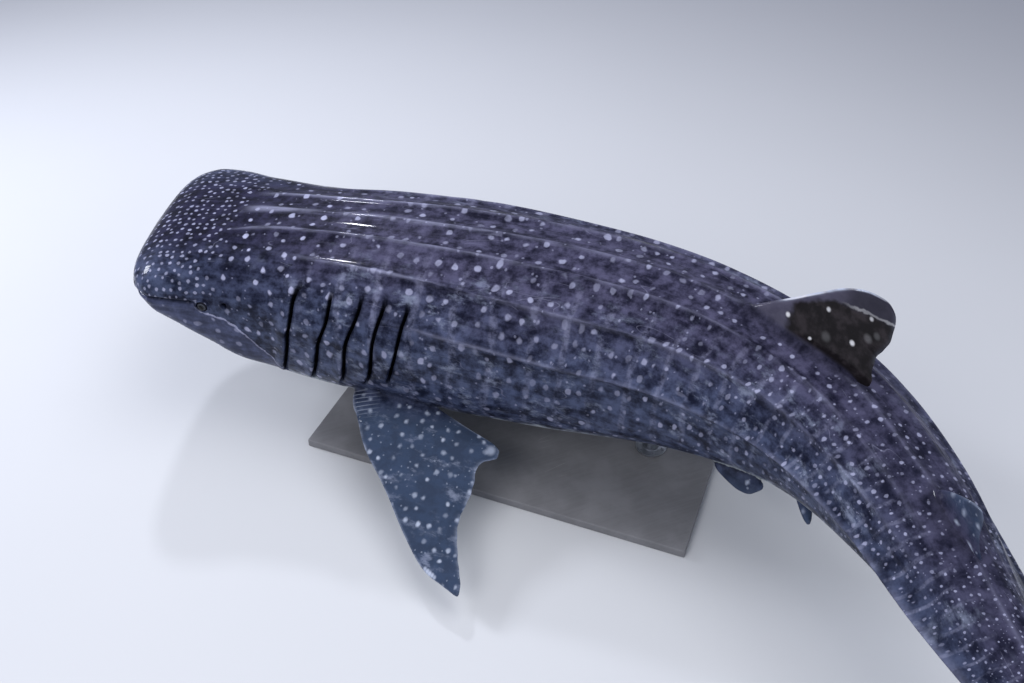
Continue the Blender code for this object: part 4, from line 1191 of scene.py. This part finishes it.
def hide_values(tree):
    """What the hide's markings read: places on the animal, its parts, and noises that they share."""
    at = SimpleNamespace(where=object_place(tree))
    maps = ("hide", "rows", "girth")
    at.hide, at.rows, girth = (node(tree, "ShaderNodeUVMap", uv_map=name) for name in maps)
    # Painted shade: the first value darkens the gill slits, mouth line, eye sockets, spiracles and nostrils.
    at.hollow, at.ridge, at.seam = (attribute(tree, name) for name in ("hollow", "ridge", "seam"))
    at.along, at.across = parts_of(at.hide)
    at.station, side = parts_of(girth)
    at.share = maths("ABSOLUTE", side)
    at.on_fin = maths("LESS_THAN", at.station, -CHART_GAP / 2)
    at.on_body = 1.0 - at.on_fin
    at.on_dorsal = at.on_fin * maths("LESS_THAN", at.along, 1.3 * CHART_GAP)
    at.on_tail_fin = maths("COMPARE", at.station, -14.5, 1.0)
    at.blotch = noise(at.where, 3.2, 4.0, 0.6)
    at.cloud = noise(at.where, 14.0, 4.0, 0.65)
    at.streak = noise(scaled(at.hide, 2.2, 16.0, 1.0), 1.0, 4.0, 0.6)

    at.behind_mouth = step(at.station, 0.42, 0.54)
    ragged = (noise(at.hide, 21.0, 3.0, 0.6) - 0.5) * at.behind_mouth
    edge = ragged * 0.045 + attribute(tree, "jaw")
    at.jaw = step(edge, -0.004, at.behind_mouth * 0.010 + 0.014) * fade(at.station, *THROAT_END)
    belly_at = at.share + (at.cloud - 0.5) * 0.16 + (at.blotch - 0.5) * 0.14
    at.belly = step(belly_at, 0.65, 0.74) * either(step(at.station, 0.02, 0.12), at.on_fin)
    at.above = 1.0 - either(at.belly, at.jaw)
    return at


def ground_colour(at, props):
    """Mottled back, flank and fins, with faint bars and pale marbled patches of painted caustic light."""
    behind_head = either(step(at.station, 0.45, 1.5), at.on_fin)
    top = mix(behind_head, props.head_colour, props.back_colour)
    colour = mix(step(at.blotch * 0.25 + at.share, 0.26, 0.58), top, props.flank_colour)
    calm = (at.streak - 0.5) * step(at.seam, 0.01, 0.10) + 0.5
    mottle = mix(step(at.cloud * 0.6 + calm * 0.4, 0.36, 0.64), (0.22, 0.22, 0.27), (1.82, 1.78, 1.64))
    colour = mix(1.0, colour, mottle, "MULTIPLY")
    colour = mix(step(at.station, 3.3, 4.6) * 0.30, colour, (0.008, 0.010, 0.022))

    inputs = {"Vector": at.rows, "Scale": 0.157, "Distortion": 2.6, "Detail": 2.0, "Detail Scale": 1.2}
    bar = step(node(at.rows.tree, "ShaderNodeTexWave", inputs, "Fac"), 0.84, 0.99)
    bar = bar * step(at.share, 0.10, 0.24) * step(at.station, 0.9, 1.3) * at.on_body
    colour = mix(bar * step(at.cloud, 0.38, 0.66) * 0.16, colour, props.spot_colour)

    fin = mix(step(at.cloud, 0.35, 0.65), props.fin_colour, toned(props.fin_colour, 0.5))
    fin_part = at.on_fin * step(at.seam, 0.0, at.on_tail_fin * -0.12 + 0.16)
    colour = mix(fin_part * 0.85, colour, fin)
    # Painted light: pale marbled patches on flank and fins that stand for the caustic light of water.
    caustics = noise(scaled(at.hide, 7.0, 13.0, 1.0), 1.0, 5.0, 0.68)
    caustics = step(caustics, 0.52, 0.70) * step(at.blotch, 0.34, 0.58)
    on_flank = (step(at.station, 0.75, 1.3) * 0.85 + 0.15) * step(at.share, 0.06, 0.30)
    clear = (step(at.seam, 0.02, 0.12) - at.on_dorsal).clamped()
    return mix(caustics * either(on_flank, at.on_fin) * clear * props.caustic_strength, colour, props.caustic_colour)


def dorsal_colours(at, props, colour):
    """The first dorsal fin's grey, with a dark patch behind, a painted highlight along its leading edge, and
    the mask of its pale marks.
    """
    back = at.along - CHART_GAP
    wobble = (noise(at.hide, 26.0, 3.0) - 0.5) * 0.030
    under = maths("MINIMUM", back * 0.694 - 0.004, back * 0.300 + 0.172) - (wobble + at.across)
    patch = step(under, -0.010, 0.020) * step(wobble * 1.5 + back, 0.244, 0.286)
    grey = mix(step(back, 0.43, 0.56), props.dorsal_colour, toned(props.dorsal_colour, 0.42))
    colour = mix(at.on_dorsal * step(at.seam, 0.0, 0.06), colour, grey)
    clouded = mix(step(at.cloud, 0.3, 0.7), (0.86, 0.86, 0.88), (1.12, 1.12, 1.10))
    colour = mix(1.0, colour, clouded, "MULTIPLY")
    smudge = step(noise(at.hide, 13.0, 3.0, 0.6), 0.42, 0.70)
    dark = mix(smudge, props.patch_colour, toned(props.patch_colour, 3.4))
    colour = mix(patch * at.on_dorsal * step(at.seam, 0.01, 0.05), colour, dark)
    # Painted highlight: a pale line along the leading edge, fading towards the fin's rear.
    edge = step(at.ridge, 0.35, 1.5) * (step(back, 0.34, 0.42) * -0.8 + 1.0)
    colour = mix(edge * at.on_dorsal, colour, (0.50, 0.50, 0.54))
    fringe = fade(maths("ABSOLUTE", under), 0.002, 0.009) * step(back, 0.46, 0.58) * at.on_dorsal
    spots = [(CHART_GAP + along, *rest) for along, *rest in DORSAL_SPOTS]
    return colour, add_marks(fringe * (at.streak * 0.8 - 0.18), at.hide, spots, 0.35, 1.30)


def underside_colour(at, props, colour):
    """White belly, grey throat and clouded lower jaw."""
    throat = mix(at.jaw * (step(at.share, 0.74, 0.96) * -0.45 + 0.85), props.belly_colour, props.jaw_colour)
    colour = mix(at.belly, colour, throat)
    clouded = step(at.cloud * 0.55 + at.streak * 0.45, 0.38, 0.62)
    jaw_tone = mix(clouded, toned(props.jaw_colour, 0.66), toned(props.jaw_colour, 1.50))
    return mix(at.jaw * (1.0 - at.belly) * 0.9, colour, jaw_tone)


def spots_mask(at, props):
    """Spots, in rows on body and fins, dense on the head and faint on the jaw, and the jaw's pale edge."""
    clear = at.above * step(at.seam, 0.012, 0.035)
    large = group("round_spots", at.rows, 1.0, 0.66, 0.130, at.on_fin * 0.055 + 0.055, 0.76)
    row, _ = parts_of(large.beside("Centre"))
    behind_dense = either(step(row, props.dense_rows, props.dense_rows + 0.01), at.on_fin)
    dimmer = (step(at.station, 0.8, 1.8) * -0.30 + 1.0 - at.on_dorsal).clamped()
    strength = (large.beside("Random") * 0.66 + 0.34) * dimmer
    spot = large * strength * behind_dense * clear
    small = group("round_spots", at.rows, 2.3, 0.9, 0.12, 0.06, 0.16)
    spot = either(spot, small * clear * behind_dense * (at.on_dorsal * -0.35 + 0.35))

    dense = group("round_spots", at.hide, 1 / props.head_spot_gap, 0.58, 0.185, 0.075, 0.97)
    random = dense.beside("Random")
    behind_snout, _ = parts_of(dense.beside("Centre"))
    front = fade(random * 0.12 + behind_snout, 0.60, 0.63)
    spot = either(spot, dense * (random * 0.30 + 0.46) * front * at.above * at.on_body)
    spot = either(spot, group("round_spots", at.hide, 11.0, 0.7, 0.13, 0.07, 0.85) * at.jaw * 0.42)
    rim = step(at.jaw * (1.0 - at.jaw) * 4.0, 0.20, 0.80) * at.behind_mouth
    return either(spot, rim * step(at.streak, 0.26, 0.54) * 0.80)


def pectoral_highlights(at):
    """The pectoral fins' painted highlights: on the tops of the creases at the root, on the rear lobe and in
    the nick by the tip.
    """
    back = (-CHART_GAP - at.station) * -CHART_GAP + at.along
    turn = maths("POWER", either(back, 0.0), CREASE_POWER) * CREASE_BEND + at.across
    crest = maths("SINE", turn * (2 * math.pi / CREASE_GAP))
    band = step(at.across, 0.03, 0.09) * fade(at.across, 0.22, 0.34) * fade(back, 0.09, 0.24)
    # Painted highlight on the tops of the creases at the fin's root.
    creases = step(crest, 0.45, 0.95) * step(at.streak, 0.30, 0.55) * band * 0.34
    where = node(back.tree, "ShaderNodeCombineXYZ", {0: back, 1: at.across})
    # Painted highlights on the rear lobe and in the nick by the tip.
    return add_marks(creases, where, PECTORAL_HIGHLIGHTS, 0.3, 1.4) * maths("COMPARE", at.station, -16.5, 1.0)


def hide_material(props):
    """Wet hide: near-black blue back and flanks, pale spots and faint bars, white below, with painted
    highlights and shade.
    """
    made, tree = new_material("shark_hide")
    at = hide_values(tree)
    colour, marks = dorsal_colours(at, props, ground_colour(at, props))
    colour = underside_colour(at, props, colour)
    pale = mix(at.on_fin, props.spot_colour, (0.35, 0.39, 0.49))
    worn = step(at.cloud, 0.3, 0.6) * 0.35 + 0.65
    colour = mix(spots_mask(at, props) * worn, colour, pale)
    colour = mix(marks, colour, (0.60, 0.60, 0.62))
    scratch = group("scratches", at.hide, 9.0, 0.22, 0.007, 0.56) * at.above * at.on_body
    # Painted highlight: pale lines along the ridges' edges and along the fins' edges, weaker behind the head.
    edge_highlights = at.ridge * step(at.streak, 0.34, 0.64) * (step(at.station, 1.4, 2.8) * -0.62 + 1.0)
    # The pale scratches are real scars; the ridge and fin-edge lines and the pectoral marks are painted
    # highlights.
    lines = either(either(scratch * 0.16, edge_highlights * 0.46), pectoral_highlights(at))
    colour = mix(lines, colour, pale)
    # Painted shade: a darker band round each fin's root, but not round the tail fin's root.
    root_shade = (step(at.seam, 0.0, 0.05) * -0.35 + 0.35) * (1.0 - at.on_tail_fin)
    inputs = {
        # Painted shade: the hollows go near-black, and the band round the fin roots goes darker.
        "Base Color": mix(either(at.hollow * 0.95, root_shade), colour, (0.002, 0.002, 0.003)),
        "Roughness": at.hollow * 0.4 + at.streak * 0.24 + (props.roughness - 0.12),
        "Coat Weight": (1.0 - at.hollow) * props.wetness,
        "Coat Roughness": 0.07,
        "Coat IOR": 1.33,
        "Specular IOR Level": 0.02,
    }
    height = group("hide_grain", at.where, 0.0005, 0.0022) + at.streak * 0.004 - scratch * 0.0012
    return surface(made, inputs, height)


def colour_setting(name, description, default):
    return bpy.props.FloatVectorProperty(name=name, description=description, subtype="COLOR", default=default)


def share_setting(name, description, default):
    return bpy.props.FloatProperty(
        name=name, description=description, default=default, min=0.0, max=1.0, subtype="FACTOR"
    )


class SHARK_Look(bpy.types.PropertyGroup):
    """Colours and sizes of the hide, eyes, stand and studio."""

    head_colour: colour_setting("Head", "Hide on top of the head", (0.0090, 0.0088, 0.0240))
    back_colour: colour_setting("Back", "Hide along the back", (0.0320, 0.0315, 0.0620))
    flank_colour: colour_setting("Flank", "Hide low on the flank", (0.0290, 0.0370, 0.0740))
    belly_colour: colour_setting("Belly", "Hide of the underside", (0.46, 0.50, 0.52))
    jaw_colour: colour_setting("Jaw", "Lower jaw and throat", (0.046, 0.053, 0.098))
    # On the body this is also the colour of the painted highlight lines along the ridges.
    spot_colour: colour_setting("Spots", "Pale spots, bars and scratches", (0.34, 0.35, 0.49))
    fin_colour: colour_setting("Fins", "Upper face of the paired fins", (0.041, 0.062, 0.110))
    dorsal_colour: colour_setting("Dorsal fin", "Grey of the first dorsal fin", (0.058, 0.055, 0.083))
    patch_colour: colour_setting("Dorsal patch", "Dark patch on that fin", (0.0075, 0.0062, 0.007))
    # Painted light: colour and strength of the pale marbled caustics on flank and fins.
    caustic_colour: colour_setting("Marbling", "Paler cloudy wear of flank and fins", (0.185, 0.210, 0.290))
    caustic_strength: share_setting("Marbling strength", "How much the paler wear shows", 0.70)
    head_spot_gap: bpy.props.FloatProperty(
        name="Head spot gap", description="Distance between spots on the head", default=0.047, unit="LENGTH"
    )
    dense_rows: bpy.props.FloatProperty(
        name="Dense rows", description="Rows of spot cells behind the snout that hold the head's small spots",
        default=8.0
    )
    roughness: share_setting("Roughness", "Roughness of the hide", 0.40)
    wetness: share_setting("Wetness", "Strength of the wet film", 0.36)
    iris_colour: colour_setting("Iris", "Ring round the pupil", (0.030, 0.032, 0.038))
    board_colour: colour_setting("Board", "Paint of the stand's base", (0.16, 0.16, 0.17))
    floor_colour: colour_setting("Floor", "Studio floor", (0.53, 0.54, 0.56))
    key_power: bpy.props.FloatProperty(
        name="Key light", description="Large soft light in front", default=420.0, unit="POWER"
    )
    glint_power: bpy.props.FloatProperty(
        name="Back light", description="Smaller light behind, for wet glints", default=200.0, unit="POWER"
    )


def look():
    return bpy.context.scene.shark_look


def finish_piece(obj, replaced=()):
    """Rides a piece on the one body and hides the solids it stands for."""
    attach(obj, "root")
    if replaced:
        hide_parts(*replaced)


class SHARK_OT_skin(bpy.types.Operator):
    """One closed skin over the head, trunk, tail and fins, with its folds and markings"""

    bl_idname = "shark.skin"
    bl_label = "Skin"

    def execute(self, context):
        body = body_skin()
        fins = fin_skins()
        spare = unite(body, [piece for piece, _ in fins])
        soften_joints(body, [radius for _, radius in fins])
        mesh = body.data
        mesh.materials.clear()
        mesh.polygons.foreach_set("material_index", np.zeros(len(mesh.polygons), int))
        mesh.materials.append(hide_material(look()))
        for slot in spare:
            bpy.data.materials.remove(slot)
        for title in ("station", "turn", "rest"):
            mesh.attributes.remove(mesh.attributes[title])
        activate(body)
        bpy.ops.object.shade_smooth_by_angle(angle=math.radians(75))
        finish_piece(body, FLESH)
        return {"FINISHED"}


def eye_material(props):
    """Eyeball: dark pupil, grey iris with fine streaks, darker white, under a clear wet cornea."""
    made, tree = new_material("shark_eye")
    turn = attribute(tree, "turn")
    streak = noise(object_place(tree), 420.0, 3.0, 0.7)
    iris = mix(streak, toned(props.iris_colour, 0.5), props.iris_colour)
    colour = mix(step(turn, 0.42, 0.45), (0.003, 0.003, 0.004), iris)
    colour = mix(step(turn, 0.66, 0.72), colour, (0.010, 0.010, 0.016))
    colour = mix(step(turn, 0.62, 0.66) * fade(turn, 0.70, 0.76) * 0.7, colour, (0.09, 0.10, 0.12))
    inputs = {"Base Color": colour, "Roughness": 0.5, "Specular IOR Level": 0.1}
    return surface(made, inputs | {"Coat Weight": 0.45, "Coat Roughness": 0.03, "Coat IOR": 1.33})


class SHARK_OT_eyes(bpy.types.Operator):
    """Both eyeballs, with a slightly domed cornea"""

    bl_idname = "shark.eyes"
    bl_label = "Eyes"

    def execute(self, context):
        finish = eye_material(look())
        for side, word in ((1, "left"), (-1, "right")):
            point, out = site(EYE_STATION, EYE_HEIGHT, side)
            deselect()
            bpy.ops.mesh.primitive_uv_sphere_add(segments=56, ring_count=36, radius=EYE_RADIUS)
            eye = bpy.context.object
            eye.name = eye.data.name = f"eyeball_{word}"
            points = array_of(eye.data.vertices, "co", 3)
            turn = np.arccos(np.clip(points[:, 2] / EYE_RADIUS, -1, 1))
            points = points * (1 + CORNEA_RISE * (1 - ease(turn, 0.35, 0.72)))[:, None]
            move_to(eye.data, points)
            give_values(eye.data, "turn", turn)
            centre = Vector(point - out * EYE_SUNK)
            rotation = Vector(out).to_track_quat("Z", "Y").to_matrix().to_4x4()
            eye.data.transform(Matrix.Translation(centre) @ rotation)
            eye.data.materials.append(finish)
            activate(eye)
            bpy.ops.object.shade_smooth()
            finish_piece(eye, [f"eye_{word}"])
        return {"FINISHED"}


def board_turn():
    """Angle of the board's long side, by the two rods."""
    front, rear = (place(station, 0.0, 0.0) for _, station in ROD_STATIONS)
    return math.atan2(rear[1] - front[1], rear[0] - front[0])


def board_material(props):
    """Matt paint over timber: faint grain, brush marks and scuffs."""
    made, tree = new_material("painted_board")
    where = object_place(tree)
    turned = node(tree, "ShaderNodeMapping", {"Vector": where, "Rotation": (0.0, 0.0, board_turn())})
    grain = noise(scaled(turned, 0.06, 1.0, 1.0), 60.0, 5.0, 0.65)
    cloud = noise(where, 5.0, 4.0, 0.6)
    paint = props.board_colour
    colour = mix(step(grain, 0.35, 0.7), toned(paint, 0.86), paint)
    colour = mix(step(cloud, 0.35, 0.7), colour, toned(paint, 1.16))
    scuff = group("scratches", turned, 7.0, 0.3, 0.004, 0.60)
    colour = mix(scuff * 0.35, colour, (0.42, 0.41, 0.40))
    inputs = {"Base Color": colour, "Roughness": cloud * 0.2 + 0.48}
    return surface(made, inputs, grain * 0.0006 - scuff * 0.0003)


def steel_material():
    """Satin steel, brushed round the rod."""
    made, tree = new_material("satin_steel")
    where = object_place(tree)
    brushed = noise(scaled(where, 1.0, 1.0, 40.0), 30.0, 3.0, 0.6)
    colour = mix(brushed, (0.42, 0.43, 0.45), (0.58, 0.59, 0.61))
    colour = mix(step(noise(where, 7.0, 3.0, 0.6), 0.5, 0.75) * 0.3, colour, (0.30, 0.31, 0.33))
    inputs = {"Base Color": colour, "Metallic": 1.0, "Roughness": brushed * 0.18 + 0.22}
    return surface(made, inputs, brushed * 0.00015)


def bevelled(obj, width, segments=3):
    made = obj.modifiers.new("bevel", "BEVEL")
    made.width, made.segments, made.limit_method = width, segments, "ANGLE"
    activate(obj)
    bpy.ops.object.modifier_apply(modifier=made.name)
    bpy.ops.object.shade_smooth_by_angle(angle=math.radians(35))


def turned_piece(name, radius, low, high, at, sides):
    """An upright round piece between two heights, its place in its mesh."""
    deselect()
    bpy.ops.mesh.primitive_cylinder_add(
        vertices=sides, radius=radius, depth=high - low, location=(at[0], at[1], (low + high) / 2)
    )
    obj = bpy.context.object
    obj.name = obj.data.name = name
    bpy.ops.object.transform_apply(location=True, rotation=True, scale=True)
    return obj


class SHARK_OT_stand(bpy.types.Operator):
    """The painted base, two steel rods, and the bolted flange at each rod's foot"""

    bl_idname = "shark.stand"
    bl_label = "Stand"

    flange_radius: bpy.props.FloatProperty(
        name="Flange radius", description="Radius of the rods' flanges", default=0.088, unit="LENGTH"
    )
    flange_thickness: bpy.props.FloatProperty(
        name="Flange thickness", description="Thickness of the rods' flanges", default=0.012, unit="LENGTH"
    )
    bolts: bpy.props.IntProperty(name="Bolts", description="Bolts in each flange", default=6, min=3)

    def execute(self, context):
        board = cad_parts["stand_base"]
        board.data.materials.clear()
        board.data.materials.append(board_material(look()))
        steel = steel_material()
        for word, station in ROD_STATIONS:
            at = place(station, 0.0, 0.0)
            top = BACK_HEIGHT + float(smooth(BELLY, station)) + ROD_RISE
            rod = turned_piece(f"rod_{word}", ROD_RADIUS, BASE_THICKNESS, top, at, 72)
            bevelled(rod, 0.002)
            rod.data.materials.append(steel)
            finish_piece(rod, [f"stand_rod_{word}"])
            self.flange(word, at, steel)
        return {"FINISHED"}

    def flange(self, word, at, steel):
        """One flange: a bevelled disc, a weld bead round the rod, and a ring of hexagon bolts on washers."""
        top = BASE_THICKNESS + self.flange_thickness
        disc = turned_piece(f"flange_{word}", self.flange_radius, BASE_THICKNESS, top, at, 72)
        bevelled(disc, 0.0025)
        deselect()
        bpy.ops.mesh.primitive_torus_add(
            location=(at[0], at[1], top + 0.001), major_radius=ROD_RADIUS + 0.002, minor_radius=WELD_RADIUS,
            major_segments=72, minor_segments=12
        )
        parts = [disc, bpy.context.object]
        bpy.ops.object.transform_apply(location=True, rotation=True, scale=True)
        bpy.ops.object.shade_smooth()
        reach = (ROD_RADIUS + self.flange_radius) / 2 + 0.003
        for k in range(self.bolts):
            turn = 2 * math.pi * (k + 0.5) / self.bolts
            spot = (at[0] + reach * math.cos(turn), at[1] + reach * math.sin(turn))
            foot = top
            for name, radius, height, bevel, sides in BOLT_PARTS:
                part = turned_piece(name, radius, foot, foot + height, spot, sides)
                bevelled(part, bevel, 2)
                parts.append(part)
                foot += height
        activate(disc)
        for part in parts:
            part.select_set(True)
        bpy.ops.object.join()
        disc.data.materials.clear()
        disc.data.materials.append(steel)
        finish_piece(disc)


def floor_material(props):
    """Plain pale floor with the faintest unevenness."""
    made, tree = new_material("studio_floor")
    pale = props.floor_colour
    colour = mix(noise(object_place(tree), 0.6, 3.0), toned(pale, 0.97), pale)
    return surface(made, {"Base Color": colour, "Roughness": 0.85})


def area_light(name, location, target, size, power, colour, mirrored):
    """A square soft light that points at a target. The wet skin mirrors it only where that is asked for."""
    data = bpy.data.lights.new(name, "AREA")
    data.shape, data.size, data.energy, data.color = "SQUARE", size, power, colour
    obj = bpy.data.objects.new(name, data)
    bpy.context.scene.collection.objects.link(obj)
    obj.location = location
    obj.rotation_euler = (Vector(target) - Vector(location)).to_track_quat("-Z", "Y").to_euler()
    obj.visible_glossy = mirrored


class SHARK_OT_stage(bpy.types.Operator):
    """Camera at the photograph's viewing angle, pale floor and soft studio lights"""

    bl_idname = "shark.stage"
    bl_label = "Camera, floor and lights"

    focal_pixels: bpy.props.FloatProperty(
        name="Focal length in pixels", description="Focal length of the view, in pixels of the picture",
        default=1000.0
    )
    pitch: bpy.props.FloatProperty(
        name="Pitch", description="How far the camera looks down", default=math.radians(40), unit="ROTATION"
    )
    offset: bpy.props.FloatVectorProperty(
        name="Camera offset", description="From the snout's top to the camera",
        default=(2.022, -4.8116, 2.90), subtype="TRANSLATION", unit="LENGTH"
    )

    def execute(self, context):
        props = look()
        scene = context.scene
        deselect()
        bpy.ops.mesh.primitive_plane_add(size=80.0)
        floor = context.object
        floor.name = floor.data.name = "studio_floor"
        floor.data.materials.append(floor_material(props))
        data = bpy.data.cameras.new("view")
        data.sensor_width = 36.0
        data.lens = self.focal_pixels / IMAGE_WIDTH * data.sensor_width
        camera = bpy.data.objects.new("view", data)
        scene.collection.objects.link(camera)
        camera.location = Vector((SNOUT_X, SNOUT_Y, BACK_HEIGHT)) + Vector(self.offset)
        camera.rotation_euler = (math.pi / 2 - self.pitch, 0.0, 0.0)
        scene.camera = camera
        for name, location, target, size, glint, share, colour in LIGHTS:
            power = props.glint_power if glint else props.key_power
            area_light(name, location, target, size, power * share, colour, glint)
        world = bpy.data.worlds.new("studio")
        world.use_nodes = True
        background = world.node_tree.nodes["Background"]
        background.inputs["Color"].default_value = (0.72, 0.77, 1.0, 1.0)
        background.inputs["Strength"].default_value = 0.40
        scene.world = world
        scene.view_settings.view_transform = "Standard"
        return {"FINISHED"}


class SHARK_PT_panel(bpy.types.Panel):
    """Builds the shark piece by piece"""

    bl_idname = "SHARK_PT_panel"
    bl_label = "Whale shark"
    bl_space_type = "VIEW_3D"
    bl_region_type = "UI"
    bl_category = "Shark"

    def draw(self, context):
        for name in SHARK_Look.__annotations__:
            self.layout.prop(context.scene.shark_look, name)
        for operator in OPERATORS:
            self.layout.operator(operator.bl_idname)


OPERATORS = (SHARK_OT_skin, SHARK_OT_eyes, SHARK_OT_stand, SHARK_OT_stage)
CLASSES = (SHARK_Look, *OPERATORS, SHARK_PT_panel)


def register():
    for made in CLASSES:
        bpy.utils.register_class(made)
    bpy.types.Scene.shark_look = bpy.props.PointerProperty(type=SHARK_Look)


def unregister():
    del bpy.types.Scene.shark_look
    for made in reversed(CLASSES):
        bpy.utils.unregister_class(made)


def main():
    register()
    bpy.ops.shark.stage()
    bpy.ops.shark.skin()
    bpy.ops.shark.eyes()
    bpy.ops.shark.stand()


if __name__ == "__main__":
    main()
